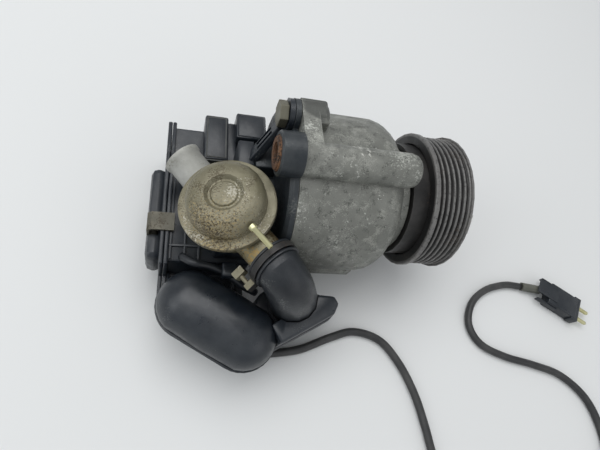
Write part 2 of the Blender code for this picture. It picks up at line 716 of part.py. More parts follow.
def make_shaft_group():
    turned(
        "drive_shaft",
        [(SHAFT_FRONT, 0.0), (SHAFT_FRONT, SHAFT_FRONT_R - 0.6), (SHAFT_FRONT - 0.6, SHAFT_FRONT_R)]
        + [(HUB_REAR, SHAFT_FRONT_R), (HUB_REAR, SHAFT_R), (ROTOR_FRONT - ROTOR_DISC + GAP, SHAFT_R)]
        + [(ROTOR_FRONT - ROTOR_DISC + GAP, 0.0)],
        STEEL,
        steps=TURN_STEPS,
    )
    drum = turned(
        "rotor_drum",
        [(ROTOR_FRONT, SHAFT_R + GAP), (ROTOR_FRONT, ROTOR_R), (ROTOR_REAR, ROTOR_R), (ROTOR_REAR, ROTOR_R - ROTOR_WALL)]
        + [(ROTOR_FRONT - ROTOR_DISC, ROTOR_R - ROTOR_WALL), (ROTOR_FRONT - ROTOR_DISC, SHAFT_R + GAP)],
        DARK_STEEL,
        steps=LARGE_STEPS,
    )
    slot = 2 * (ECCENTRICITY + VANE_T / 2 + 0.5)
    for side, name in ((1, "slot_cut_a"), (-1, "slot_cut_b")):
        low, high = sorted((side * (ROTOR_R - ROTOR_WALL - 4), side * (ROTOR_R + 3)))
        cut(
            drum,
            block(name, (ROTOR_REAR - 2, -slot / 2, AXIS_H + low), (ROTOR_FRONT - ROTOR_DISC - 1, slot / 2, AXIS_H + high), cutter=True),
        )
    make_bearing("rear_bearing", BORE_FRONT + SEAL_L + 2 * GAP, REAR_BEARING)
    make_bearing("front_bearing", FRONT_SEAT + GAP, FRONT_BEARING)
    ring("shaft_seal", BORE_FRONT + GAP, BORE_FRONT + SEAL_L, SHAFT_R + RUNNING, REAR_BEARING[1], RUBBER, steps=TURN_STEPS)


def make_vanes():
    length = ROTOR_FRONT - ROTOR_DISC - 2.0 - (ROTOR_REAR + RUNNING)
    start = ROTOR_REAR + RUNNING
    end = start + length
    quarter = length / 4
    tip = BORE_R - RUNNING
    ring("vane_shaft", VANE_SHAFT_REAR, end + 0.5, 0, VANE_SHAFT_R, STEEL, BORE_AXIS, TURN_STEPS, 0.5)
    for side, name, firsts in ((1, "vane_a", (0, 2)), (-1, "vane_b", (1, 3))):
        spans = [(start + quarter * i + (GAP / 2 if i else 0), start + quarter * (i + 1) - GAP / 2) for i in firsts]
        low, high = sorted((side * (VANE_HUB_R + 1.0), side * tip))
        centre = AXIS_H - ECCENTRICITY
        vane = block(name, (start, -VANE_T / 2, centre + low), (end, VANE_T / 2, centre + high), STEEL)
        move_origin(vane, (0, 0, centre))
        for number, (near, far) in enumerate(spans):
            reach = sorted((side * (VANE_SHAFT_R + 1.6), side * (VANE_HUB_R + 3.0)))
            knuckle = block(
                f"{name}_knuckle_{number}",
                (near, -VANE_T / 2, centre + reach[0]),
                (far, VANE_T / 2, centre + reach[1]),
                cutter=True,
            )
            hub = ring(f"{name}_hub_{number}", near, far, 0, VANE_HUB_R, where=BORE_AXIS, steps=SMALL_STEPS, cutter=True)
            join(vane, knuckle, hub)
        cut(vane, ring(f"{name}_hub_cut", start - 1, end + 1, 0, VANE_SHAFT_R + RUNNING, where=BORE_AXIS, steps=TURN_STEPS, cutter=True))


def move_origin(obj, origin):
    """Moves a mesh object's origin to a point and squares its axes up, without moving its shape."""
    shift = Matrix.Translation(Vector(origin) * MM)
    obj.data.transform(shift.inverted() @ obj.matrix_world)
    obj.matrix_world = shift


# Clutch and pulley ---------------------------------------------------------------

PULLEY_FRONT = PULLEY_REAR + PULLEY_W
WEB_FRONT = PULLEY_FRONT - 3.5
WEB_REAR = WEB_FRONT - WEB_T
ARMATURE_REAR = WEB_FRONT + AIR_GAP
ARMATURE_FRONT = ARMATURE_REAR + ARMATURE_T
LEAF_REAR = ARMATURE_FRONT + GAP
LEAF_FRONT = LEAF_REAR + LEAF_T
HUB_REAR = NOSE_FRONT + 1.0
HUB_FRONT = LEAF_FRONT + GAP + 3.0
HUB_TUBE_INNER = PULLEY_BEARING[1] + GAP
HUB_TUBE_OUTER = HUB_TUBE_INNER + 1.6


def groove_profile():
    """The rim's outer side, from front to rear, with one V per rib."""
    crest = PULLEY_R - CREST_DROP
    valley = crest - GROOVE_DEPTH
    first = PULLEY_REAR + REAR_BAND
    points = [(first, crest)]
    for i in range(GROOVE_COUNT):
        start = first + i * GROOVE_PITCH
        points += [(start + 0.12 * GROOVE_PITCH, crest), (start + 0.5 * GROOVE_PITCH, valley), (start + 0.88 * GROOVE_PITCH, crest)]
    end = first + GROOVE_COUNT * GROOVE_PITCH
    points.append((end, crest))
    front_chamfer = [(PULLEY_FRONT, PULLEY_R - 0.6), (PULLEY_FRONT - 0.6, PULLEY_R), (end, PULLEY_R)]
    rear_chamfer = [(first, PULLEY_R), (PULLEY_REAR + 0.6, PULLEY_R), (PULLEY_REAR, PULLEY_R - 0.6)]
    return front_chamfer + points[::-1] + rear_chamfer


def make_clutch():
    turned(
        "pulley",
        groove_profile()
        + [(PULLEY_REAR, RIM_INNER_R), (WEB_REAR, RIM_INNER_R), (WEB_REAR, HUB_TUBE_OUTER), (PULLEY_REAR + 0.5, HUB_TUBE_OUTER)]
        + [(PULLEY_REAR + 0.5, HUB_TUBE_INNER), (WEB_FRONT, HUB_TUBE_INNER), (WEB_FRONT, RIM_INNER_R + 4.2), (PULLEY_FRONT, RIM_INNER_R + 4.2)],
        DARK_STEEL,
        steps=LARGE_STEPS,
    )
    make_bearing("pulley_bearing", BEARING_REAR, PULLEY_BEARING)
    ring("bearing_circlip", CIRCLIP_REAR, CIRCLIP_REAR + CIRCLIP_L, NOSE_R + GAP, NOSE_R + 2.6, STEEL, steps=TURN_STEPS)
    coil_front = WEB_REAR - AIR_GAP
    inner = HUB_TUBE_OUTER + 0.6
    turned(
        "coil_housing",
        [(coil_front, COIL_R), (COIL_REAR, COIL_R), (COIL_REAR, NOSE_R + GAP), (COIL_REAR + COIL_PLATE_T, NOSE_R + GAP)]
        + [(COIL_REAR + COIL_PLATE_T, inner), (coil_front, inner), (coil_front, inner + COIL_WALL)]
        + [(COIL_REAR + COIL_PLATE_T, inner + COIL_WALL), (COIL_REAR + COIL_PLATE_T, COIL_R - COIL_WALL), (coil_front, COIL_R - COIL_WALL)],
        DARK_STEEL,
        steps=LARGE_STEPS,
    )
    ring(
        "clutch_coil",
        COIL_REAR + COIL_PLATE_T + GAP,
        coil_front - 1.0,
        inner + COIL_WALL + GAP,
        COIL_R - COIL_WALL - GAP,
        COPPER,
        steps=LARGE_STEPS,
    )
    ring("armature_plate", ARMATURE_REAR, ARMATURE_FRONT, ARMATURE_INNER_R, ARMATURE_R, DARK_STEEL, steps=LARGE_STEPS, chamfer=0.4)
    turned(
        "clutch_hub",
        [(HUB_FRONT, SHAFT_FRONT_R + GAP), (HUB_FRONT, HUB_FLANGE_R), (LEAF_FRONT + GAP, HUB_FLANGE_R), (LEAF_FRONT + GAP, HUB_R)]
        + [(HUB_REAR + GAP, HUB_R), (HUB_REAR + GAP, SHAFT_FRONT_R + GAP)],
        DARK_STEEL,
        steps=TURN_STEPS,
    )
    leaf = ring("armature_spring", LEAF_REAR, LEAF_FRONT, HUB_R + GAP, HUB_FLANGE_R + 2, STEEL, steps=TURN_STEPS)
    holes = []
    for number in range(3):
        angle = 120.0 * number + 75.0
        y, z = around_axis(RIVET_CIRCLE_R, angle)
        turn = Matrix.Rotation(math.radians(-angle), 4, "X")
        arm_place = Matrix.Translation((0, 0, AXIS_H * MM)) @ turn
        arm = block(
            f"leaf_arm_{number + 1}",
            (LEAF_REAR, -LEAF_W / 2, HUB_FLANGE_R - 2),
            (LEAF_FRONT, LEAF_W / 2, RIVET_CIRCLE_R + 5.0),
            where=arm_place,
            cutter=True,
        )
        join(leaf, arm)
        where = along_x(y, z)
        holes.append(ring(f"rivet_cut_{number + 1}", ARMATURE_REAR - 1, LEAF_FRONT + 1, 0, RIVET_R - 1 + GAP, where=where, steps=16, cutter=True))
        turned(
            f"armature_rivet_{number + 1}",
            [(LEAF_FRONT + GAP + 2.2, 0.0), (LEAF_FRONT + GAP + 2.2, RIVET_R - 1), (LEAF_FRONT + GAP + 1.2, RIVET_R), (LEAF_FRONT + GAP, RIVET_R)]
            + [(LEAF_FRONT + GAP, RIVET_R - 1), (ARMATURE_REAR + 0.3, RIVET_R - 1), (ARMATURE_REAR + 0.3, 0.0)],
            STEEL,
            where,
            16,
        )
    cut(leaf, *holes)
    cut(bpy.data.objects["armature_plate"], *holes)
    nut = prism("hub_nut", hexagon(NUT_AF), HUB_FRONT + GAP, HUB_FRONT + GAP + NUT_H, STEEL, SHAFT_AXIS)
    cut(nut, ring("nut_cut", HUB_FRONT, HUB_FRONT + NUT_H + 2, 0, SHAFT_FRONT_R + GAP, steps=TURN_STEPS, cutter=True))


# Intake filter ---------------------------------------------------------------------

# The outline's points are (y, z).
HOUSING_OUTLINE = (
    (SHELF_FRONT, HOUSING_FLOOR),
    (HOUSING_BACK, HOUSING_FLOOR),
    (HOUSING_BACK, HOUSING_TOP),
    (HOUSING_FRONT_Y, HOUSING_TOP),
    (HOUSING_FRONT_Y, SHELF_H),
    (SHELF_FRONT, SHELF_H),
)
ACROSS = Matrix(((0, 0, 1, 0), (1, 0, 0, 0), (0, 1, 0, 0), (0, 0, 0, 1)))  # local X to Y, Y to Z, Z to X


def grown(outline, by):
    """An outline of right angles moved outwards by a distance, or inwards when it is negative."""
    moved = []
    count = len(outline)
    for i in range(count):
        before, here, after = (Vector(outline[(i + j) % count]) for j in (-1, 0, 1))
        first, second = (here - before).normalized(), (after - here).normalized()
        moved.append(tuple(here + by * Vector((first.y, -first.x)) + by * Vector((second.y, -second.x))))
    return moved


def make_filter():
    lip_front = HOUSING_SEAM + SEAM_LIP_T
    housing = prism("filter_housing", HOUSING_OUTLINE, HOUSING_SEAM, HOUSING_FRONT, PLASTIC, ACROSS, bevel=1.5)
    lip = prism("seam_lip_form", grown(HOUSING_OUTLINE, SEAM_LIP), HOUSING_SEAM, lip_front, where=ACROSS, bevel=0.6, cutter=True)
    join(housing, lip)
    for name, low, high in BLOCKS:
        join(housing, block(f"{name}_form", low, high, bevel=1.2, cutter=True))
    tower_y = (TOWER_LO[1] + TOWER_HI[1]) / 2
    inlet = along_x(tower_y, INLET_Z)
    neck_top = (TOWER_LO[0] - GAP, *TOWER_HI[1:])
    join(
        housing,
        block("neck_form", (TOWER_LO[0] - 10.0, TOWER_LO[1], HOUSING_TOP - 4), (neck_top[0], neck_top[1], neck_top[2]), bevel=1.2, cutter=True),
    )
    cavity = prism("housing_cavity", grown(HOUSING_OUTLINE, -WALL - 0.4), HOUSING_SEAM - 5, HOUSING_FRONT - WALL, where=ACROSS, cutter=True)
    cut(housing, cavity)
    cut(housing, block("neck_cavity", (TOWER_LO[0] - 8.0, TOWER_LO[1] + 3, HOUSING_TOP - 8), (TOWER_LO[0] - 3.0, TOWER_HI[1] - 3, TOWER_HI[2] - 8), cutter=True))
    cut(housing, ring("neck_cut", TOWER_LO[0] - 6, TOWER_LO[0] + 3, 0, PORT_R, where=inlet, steps=SMALL_STEPS, cutter=True))

    back = HOUSING_SEAM - GAP
    cap = prism("filter_cover", grown(HOUSING_OUTLINE, SEAM_LIP), back - SEAM_LIP_T, back, PLASTIC, ACROSS, bevel=0.6)
    bulge_rear = back - SEAM_LIP_T - CAP_DEPTH
    bulge = block("cap_bulge_form", (bulge_rear, CAP_LO[0], CAP_LO[1]), (back - 1.0, CAP_HI[0], CAP_HI[1]), bevel=4.0, cutter=True)
    join(cap, bulge)
    inside = 2.4
    hollow = block(
        "cap_cavity",
        (bulge_rear + inside, CAP_LO[0] + inside, CAP_LO[1] + inside),
        (back + 3.0, CAP_HI[0] - inside, CAP_HI[1] - inside),
        bevel=3.0,
        cutter=True,
    )
    cut(cap, hollow)
    centre_z = (HOUSING_FLOOR + HOUSING_TOP) / 2
    start = HOUSING_SEAM + 2.0
    ring("filter_element", start, start + FILTER_L, FILTER_INNER_R, FILTER_R * 0.8, PAPER, along_x(-2.0, centre_z), TURN_STEPS)


def make_clip():
    """A spring steel strap that hooks over the seam and swings down about a pin sunk in the filter cap."""
    face = HOUSING_SEAM - GAP - SEAM_LIP_T - CAP_DEPTH
    pin_x = face + CLIP_SINK
    eye_r = CLIP_PIN_R + CLIP_EYE_T
    half = CLIP_W / 2
    slot = half + CLIP_SIDE
    reach = slot + CLIP_PIN_HOLD
    low_y, high_y = CLIP_Y - half, CLIP_Y + half
    cap = bpy.data.objects["filter_cover"]
    boss_low = (face + 1.5, CLIP_Y - reach - 1.5, CLIP_PIN_Z - eye_r - 4.0)
    boss_high = (HOUSING_SEAM - GAP - 1.7, CLIP_Y + reach + 1.5, CAP_HI[1] - 1.0)
    slot_low = (face - 1.0, CLIP_Y - slot, CLIP_PIN_Z - eye_r - 1.4)
    slot_high = (pin_x + eye_r + 0.6, CLIP_Y + slot, CAP_HI[1] + 2.0)
    across = Matrix.Translation(Vector((pin_x, 0, CLIP_PIN_Z)) * MM) @ Matrix.Rotation(math.radians(-90), 4, "X")
    join(cap, block("clip_boss_form", boss_low, boss_high, cutter=True))
    cut(
        cap,
        block("clip_slot_cut", slot_low, slot_high, cutter=True),
        ring("clip_pin_cut", CLIP_Y - reach - GAP, CLIP_Y + reach + GAP, 0, CLIP_PIN_R + GAP, where=across, steps=16, cutter=True),
    )
    ring("clip_pin", CLIP_Y - reach, CLIP_Y + reach, 0, CLIP_PIN_R, STEEL, across, 16)
    top = HOUSING_TOP + SEAM_LIP + GAP
    outer_x = pin_x - eye_r
    inner_x = outer_x + CLIP_T
    hook_x = HOUSING_SEAM + SEAM_LIP_T + CLIP_HOOK_GAP
    section = (
        (outer_x, CLIP_PIN_Z),
        (inner_x + 1.0, CLIP_PIN_Z),
        (inner_x, CLIP_PIN_Z + 2.6),
        (inner_x, top - 1.6),
        (inner_x + 1.6, top),
        (hook_x, top),
        (hook_x, top - CLIP_HOOK_DROP),
        (hook_x + CLIP_T, top - CLIP_HOOK_DROP),
        (hook_x + CLIP_T, top + CLIP_T),
        (inner_x + 1.0, top + CLIP_T),
        (outer_x, top - 1.0),
    )
    # local X is X, local Y is Z and local Z is -Y
    side_on = Matrix(((1, 0, 0, 0), (0, 0, -1, 0), (0, 1, 0, 0), (0, 0, 0, 1)))
    clip = prism("cover_clip", section, -high_y, -low_y, STEEL, side_on)
    move_origin(clip, (pin_x, CLIP_Y, CLIP_PIN_Z))
    join(clip, ring("clip_eye_form", low_y, high_y, 0, eye_r, where=across, steps=16, cutter=True))
    cut(clip, ring("clip_eye_cut", low_y - 1, high_y + 1, 0, CLIP_PIN_R + RUNNING, where=across, steps=16, cutter=True))


def make_arm():
    """The ribbed arm from under the upper cover bolt down to the filter housing's roof."""
    y, z = around_axis(*LUGS[0])
    eye = along_x(y, z)
    start = Vector((ARM_X, y + ARM_FROM_LUG[0], z + ARM_FROM_LUG[1]))
    down = Vector(ARM_END) - start
    where = aimed(start, down, (1, 0, 0))
    half = ARM_W / 2
    arm = block("mounting_arm", (-ARM_T / 2, -half, 0.0), (ARM_T / 2, half, down.length + 4), PLASTIC, where, bevel=0.8)
    tab_front = COVER_REAR - GAP
    tab_rear = EAR_SEAT - ARM_TAB_T
    join(
        arm,
        block("arm_tab_form", (tab_rear, y - half - 1.0, z - 13.0), (tab_front, y + half - 1.0, z), cutter=True),
        ring("arm_eye_form", tab_rear, EAR_SEAT, 0, LUG_R - 0.3, where=eye, steps=SMALL_STEPS, cutter=True),
    )
    foot_low = (ARM_END[0] - 12, ARM_END[1] - 20, ARM_END[2] - 12)
    foot_high = (ARM_END[0] + 12, ARM_END[1] + 12, ARM_END[2])
    cut(arm, block("arm_foot_cut", foot_low, foot_high, cutter=True))
    cut(arm, ring("arm_eye_cut", tab_rear - 1, EAR_SEAT + 1, 0, BOLT_R + GAP, where=eye, steps=SMALL_STEPS, cutter=True))
    rim = 1.2
    for side, name in ((-1, "arm_groove_a"), (1, "arm_groove_b")):
        near, far = sorted((side * 0.7, side * (half - rim)))
        groove = block(name, (-ARM_T, near, 5.0), (-ARM_T * 0.2, far, down.length - 4 * rim), where=where, cutter=True)
        cut(arm, groove)


# Shut-off valve -------------------------------------------------------------------

VALVE_NORMAL = Vector((math.sin(VALVE_LEAN), 0.0, math.cos(VALVE_LEAN)))


def on_valve_axis(height):
    """The point of the valve's axis at a height above the floor."""
    return Vector(VALVE_AT) + VALVE_NORMAL * ((height - VALVE_AT[2]) / VALVE_NORMAL.z)


STUB_PLACE = heading(on_valve_axis(STUB_Z), STUB_HEADING)
OUTLET_PLACE = heading(on_valve_axis(OUTLET_Z), OUTLET_HEADING)


def make_valve():
    flange_low = -DIAPHRAGM_T / 2 - GAP
    body = turned(
        "valve_body",
        [(flange_low, VALVE_R), (flange_low - SHEET, VALVE_R), (flange_low - SHEET, CAN_R + 1.5), (flange_low - SHEET - 1.5, CAN_R)]
        + [(-CAN_DEPTH + 3.0, CAN_R), (-CAN_DEPTH, CAN_R - 3.0), (-CAN_DEPTH, 4.0), (-CAN_DEPTH + SHEET, 4.0)]
        + [(-CAN_DEPTH + SHEET, CAN_R - 3.6), (-CAN_DEPTH + 3.6, CAN_R - SHEET), (-22.6, CAN_R - SHEET), (-22.6, POPPET_R - 2.2), (-21.2, POPPET_R - 2.2)]
        + [(-21.2, CAN_R - SHEET), (flange_low, CAN_R - SHEET)],
        ZINC,
        VALVE_AXIS,
        TURN_STEPS,
    )
    cut(
        body,
        ring("stub_hole", 8.0, CAN_R + 6.0, 0, STUB_R - PIPE_WALL, where=STUB_PLACE, steps=SMALL_STEPS, cutter=True),
        ring("outlet_hole", 8.0, CAN_R + 6.0, 0, OUTLET_R - PIPE_WALL - 1.5, where=OUTLET_PLACE, steps=SMALL_STEPS, cutter=True),
    )
    can = ring("can_clearance", -CAN_DEPTH - 6, 6, 0, CAN_R + GAP, where=VALVE_AXIS, steps=TURN_STEPS, cutter=True)
    stub = turned(
        "hose_stub",
        [(STUB_REACH, STUB_R - 0.6), (STUB_REACH - 0.6, STUB_R + 0.9), (STUB_REACH - 3.0, STUB_R + 0.9), (STUB_REACH - 4.0, STUB_R)]
        + [(10.0, STUB_R), (10.0, STUB_R - PIPE_WALL), (STUB_REACH, STUB_R - PIPE_WALL)],
        STUB_ALLOY,
        STUB_PLACE,
        TURN_STEPS,
    )
    cut(stub, can)
    outlet = turned(
        "outlet_pipe",
        [(OUTLET_REACH, OUTLET_R - 0.5), (OUTLET_REACH - 0.5, OUTLET_R), (9.0, OUTLET_R), (9.0, OUTLET_R - PIPE_WALL), (OUTLET_REACH, OUTLET_R - PIPE_WALL)],
        YELLOW_ZINC,
        OUTLET_PLACE,
        TURN_STEPS,
    )
    cut(outlet, can)
    beside = ring("pipe_clearance", 9.0, OUTLET_REACH + 1, 0, OUTLET_R + 2 * GAP, where=OUTLET_PLACE, steps=TURN_STEPS, cutter=True)
    above = ring("valve_clearance", -DIAPHRAGM_T - SHEET - 2 * GAP, DIAPHRAGM_T + SHEET, 0, VALVE_R + GAP, where=VALVE_AXIS, steps=TURN_STEPS, cutter=True)
    cut(bpy.data.objects["rear_cover"], beside, above)
    flange_high = DIAPHRAGM_T / 2 + GAP
    turned(
        "valve_cap",
        [(DOME_H - 1.4, 0.0), (DOME_H - 1.4, DOME_RING_R - 1.2), (DOME_H - 2.4, DOME_RING_R - 0.6), (DOME_H - 2.4, DOME_RING_R + 0.6)]
        + [(DOME_H, DOME_RING_R + 2.4), (DOME_H - 0.8, DOME_R - 5.2), (DOME_H - 2.6, DOME_R - 2.4), (DOME_H - 5.0, DOME_R - 0.6), (flange_high + SHEET, DOME_R)]
        + [(flange_high + SHEET, VALVE_R - 0.5), (flange_high + SHEET - 0.5, VALVE_R), (flange_high, VALVE_R)]
        + [(flange_high, DOME_R - SHEET), (DOME_H - 5.2, DOME_R - 0.6 - SHEET), (DOME_H - 3.6, DOME_R - 3.2), (DOME_H - 2.2, DOME_R - 5.8)]
        + [(DOME_H - 1.6, DOME_RING_R + 2.6), (DOME_H - 3.8, DOME_RING_R + 0.8), (DOME_H - 3.8, 0.0)],
        ZINC,
        VALVE_AXIS,
        TURN_STEPS,
    )
    ring("diaphragm", -DIAPHRAGM_T / 2, DIAPHRAGM_T / 2, 12.5, VALVE_R - 0.6, RUBBER, VALVE_AXIS, TURN_STEPS)
    turned(
        "valve_stem",
        [(1.0, 0.0), (1.0, 12.0), (-0.2, 12.0), (-0.2, STEM_R), (-18.4, STEM_R), (-18.4, POPPET_R), (-20.9, POPPET_R), (-20.9, 0.0)],
        STEEL,
        VALVE_AXIS,
        TURN_STEPS,
    )
    make_spring()
    make_nipple()


def make_spring():
    """The conical spring between the diaphragm plate and the dome."""
    wire = 0.45
    low, high = 1.0 + GAP + wire, DOME_H - 3.8 - GAP - wire
    turns, steps = 3, 16
    points = []
    for i in range(turns * steps + 1):
        share = i / (turns * steps)
        angle = 2 * math.pi * turns * share
        radius = 10.0 - 4.0 * share
        points.append((radius * math.cos(angle), radius * math.sin(angle), low + (high - low) * share))
    spring = tube("valve_spring", points, wire, STEEL, sides=1)
    spring.matrix_world = VALVE_AXIS


def make_nipple():
    """The vacuum nipple: a collar against the dome's side, then a thin pipe."""
    side = Vector((*NIPPLE_HEADING, 0.0)).normalized()
    flat = Matrix.Rotation(VALVE_LEAN, 3, "Y") @ side
    start = Vector(VALVE_AT) + VALVE_NORMAL * NIPPLE_RISE + flat * (DOME_R + GAP + 0.2)
    where = heading(start, flat)
    collar_r = NIPPLE_R + 0.7
    turned(
        "vacuum_nipple",
        [(NIPPLE_L, NIPPLE_R - 0.3), (NIPPLE_L - 0.3, NIPPLE_R), (2.4, NIPPLE_R), (2.0, collar_r), (0.0, collar_r), (0.0, 0.0)]
        + [(2.4, 0.0), (2.4, 0.7), (NIPPLE_L, 0.7)],
        BRASS,
        where,
        SMALL_STEPS,
    )


def make_bracket():
    """The plastic shelf bracket that carries the valve above the housing."""
    low = (-74.0, -40.0, HOUSING_TOP + GAP)
    high = (-52.0, -8.0, HOUSING_TOP + 3.2)
    bracket = block("valve_bracket", low, high, PLASTIC, bevel=0.6)
    join(bracket, block("bracket_wall_form", (-74.0, -43.0, HOUSING_TOP + GAP), (-52.0, -39.0, 56.0), bevel=0.8, cutter=True))
    cut(bracket, ring("bracket_can_cut", -CAN_DEPTH - GAP, -4, 0, CAN_R + 2 * GAP, where=VALVE_AXIS, steps=TURN_STEPS, cutter=True))


# Elbow, duct and silencer ------------------------------------------------------------


def elbow_radii(route):
    """How much wider the elbow is at each point, as it flares towards the duct."""
    count = len(route) - 1
    return [1.0 + ELBOW_FLARE * max(0.0, i / count - 0.3) for i in range(count + 1)]


def lengthened(route):
    return [2 * route[0] - route[1]] + route + [2 * route[-1] - route[-2]]


def elbow_form(name, grow):
    """The elbow's outer form, larger all round and longer at both ends, to cut its neighbours."""
    route = smooth_route(ELBOW_ROUTE, 6.0)
    radii = elbow_radii(route)
    radii = [radii[0]] + radii + [radii[-1]]
    return as_mesh(tube(name, lengthened(route), ELBOW_R + grow, RUBBER, sides=5, radii=radii), cutter=True)


def make_elbow():
    route = smooth_route(ELBOW_ROUTE, 6.0)
    elbow = as_mesh(tube("rubber_elbow", route, ELBOW_R, RUBBER, sides=5, radii=elbow_radii(route)))
    longer = lengthened(route)
    inner = as_mesh(tube("elbow_hollow", longer, ELBOW_R - ELBOW_WALL + 0.6, RUBBER, sides=5), cutter=True)
    cut(elbow, inner)
    start = Vector(ELBOW_ROUTE[0])
    ahead = (Vector(ELBOW_ROUTE[1]) - start).normalized()
    where = heading(start, ahead)
    low, high = CLAMP_SPAN
    seat = ELBOW_R + 0.4
    cut(elbow, ring("clamp_seat_cut", low - GAP, high + GAP, seat, seat + 9.0, where=where, steps=TURN_STEPS, cutter=True))
    inner = seat + GAP
    clamp = ring("hose_clamp", low, high, inner, inner + 1.0, ZINC, where, TURN_STEPS)
    ear_place = aimed(start, ahead, EAR_SIDE)
    screw_place = ear_place @ Matrix.Translation(Vector((inner + 4.0, 0, 0)) * MM)
    join(
        clamp,
        block("clamp_ear_a", (inner - 0.8, -3.0, low), (inner + 6.0, 3.0, high), where=ear_place, cutter=True),
        ring("clamp_screw_form", -7.0, high - 1.0, 0, 1.3, where=screw_place, steps=SMALL_STEPS, cutter=True),
        block("clamp_ear_b", (inner + 0.2, -2.6, -8.6), (inner + 7.0, 2.6, -4.2), where=ear_place, cutter=True),
    )
    cut(clamp, ring("clamp_inner_cut", low - 12, high + 2, 0, inner, where=where, steps=TURN_STEPS, cutter=True))


def make_duct():
    top = DUCT_Z + DUCT_H
    duct = prism("outlet_duct", DUCT_OUTLINE, DUCT_Z, top, PLASTIC, bevel=2.0)
    end = ELBOW_ROUTE[-1]
    spigot = ring("spigot_form", top - 2, end[2] + 3, 0, ELBOW_R - ELBOW_WALL - 0.2, where=Matrix.Translation(Vector((end[0], end[1], 0)) * MM), steps=TURN_STEPS, cutter=True)
    wall = prism("arm_wall_form", ARM_WALL_OUTLINE, DUCT_Z + 4.0, ARM_WALL_TOP, bevel=1.5, cutter=True)
    cut(wall, elbow_form("elbow_clearance", 2 * GAP))
    join(duct, spigot, wall)
    inset = 3.0
    centre = Vector((sum(p[0] for p in DUCT_OUTLINE), sum(p[1] for p in DUCT_OUTLINE))) / len(DUCT_OUTLINE)
    inner = [tuple(centre + (Vector(p) - centre) * 0.8) for p in DUCT_OUTLINE]
    cut(
        duct,
        prism("duct_hollow", inner, DUCT_Z + inset, top - inset, cutter=True),
        ring("spigot_bore", DUCT_Z + inset + 1, end[2] + 8, 0, ELBOW_R - ELBOW_WALL - 2.4, where=Matrix.Translation(Vector((end[0], end[1], 0)) * MM), steps=TURN_STEPS, cutter=True),
    )


def capsule_half(name, low, high, grow=0.0, cutter=False):
    """Half of the silencer: a pill lying along its heading, cut flat at its parting face."""
    length, width, height = SILENCER_L + 2 * grow, SILENCER_W + 2 * grow, SILENCER_H + 2 * grow
    bm = bmesh.new()
    bmesh.ops.create_uvsphere(bm, u_segments=24, v_segments=12, radius=0.5)
    straight = (length - width) / length
    for vert in bm.verts:
        side = math.copysign(1.0, vert.co.x) if abs(vert.co.x) > 1e-6 else 0.0
        vert.co.x = vert.co.x * (1 - straight) + side * straight / 2
    bmesh.ops.scale(bm, vec=Vector((length, width, height)) * MM, verts=bm.verts)
    turn = Matrix.Rotation(math.atan2(SILENCER_HEADING[1], SILENCER_HEADING[0]), 4, "Z")
    where = Matrix.Translation(Vector(SILENCER_AT) * MM) @ turn
    half = place(name, mesh_of(bm, name), PLASTIC, where, cutter)
    if not cutter:
        keep = block(f"{name}_keep", (-80, -60, low), (80, 60, high), where=where, cutter=True)
        change(half, keep, "INTERSECT")
    return half


def make_silencer():
    cut(bpy.data.objects["outlet_duct"], capsule_half("silencer_clearance", -60, 60, grow=GAP, cutter=True))
    top = capsule_half("silencer_top", SILENCER_SPLIT + GAP, 60)
    base = capsule_half("silencer_base", -60, SILENCER_SPLIT)
    inside = capsule_half("silencer_inside", -60, 60, grow=-SILENCER_WALL, cutter=True)
    cut(top, inside)
    cut(base, inside)


# Cables ---------------------------------------------------------------------------------


def make_cables():
    tube("coil_lead", smooth_route(LEAD_ROUTE, 9.0), LEAD_R, CABLE, sides=2)
    grip = block("cable_grip", GRIP_LO, GRIP_HI, RUBBER, bevel=1.2)
    along = heading((GRIP_LO[0] - 3, CORD_ROUTE[0][1], CORD_ROUTE[0][2]), (1, 0, 0))
    cut(grip, ring("grip_cut", 0, 20, 0, CORD_R + GAP, where=along, steps=16, cutter=True))
    tube("power_cable", smooth_route(CORD_ROUTE, 12.0), CORD_R, CABLE, sides=2)
    tube("plug_sleeve", [Vector(SLEEVE_ENDS[0]), Vector(SLEEVE_ENDS[1])], SLEEVE_R, SLEEVE, sides=3)
    forward = Vector((*PLUG_HEADING, 0.0)).normalized()
    turn = Matrix.Rotation(math.atan2(forward.y, forward.x), 4, "Z")
    where = Matrix.Translation(Vector(PLUG_AT) * MM) @ turn
    half_w, half_t = PLUG_W / 2, PLUG_T / 2
    plug = block("plug_body", (0, -half_w, -half_t), (PLUG_L - 3, half_w, half_t), PLASTIC, where, bevel=0.8)
    join(plug, block("plug_shoulder", (PLUG_L - 6, -half_w - 1.4, -half_t + 1), (PLUG_L, half_w + 1.4, half_t - 0.6), where=where, bevel=0.6, cutter=True))
    neck_end = Vector(SLEEVE_ENDS[1]) + (Vector(SLEEVE_ENDS[1]) - Vector(SLEEVE_ENDS[0])).normalized() * 0.8
    neck_start = Vector(PLUG_AT) + forward * 2.0
    neck_path = neck_start - neck_end
    join(plug, ring("plug_neck", 0.0, neck_path.length, 0, 2.0, where=heading(neck_end, neck_path), steps=16, cutter=True))
    for side, name in ((-1, "plug_pin_a"), (1, "plug_pin_b")):
        root = Matrix.Translation(Vector((0, side * PLUG_PIN_PITCH / 2, 0)) * MM)
        axis = where @ root @ Matrix.Rotation(math.radians(90), 4, "Y")
        start = PLUG_L - 6.0
        end = PLUG_L + PLUG_PIN_L
        turned(
            name,
            [(end, 0.0), (end - 0.3, PLUG_PIN_R - 0.8), (end - 1.6, PLUG_PIN_R), (start, PLUG_PIN_R), (start, 0.0)],
            BRASS,
            axis,
            16,
        )
        cut(plug, ring(f"{name}_cut", start - 0.3, PLUG_L + 2, 0, PLUG_PIN_R + GAP, where=axis, steps=16, cutter=True))


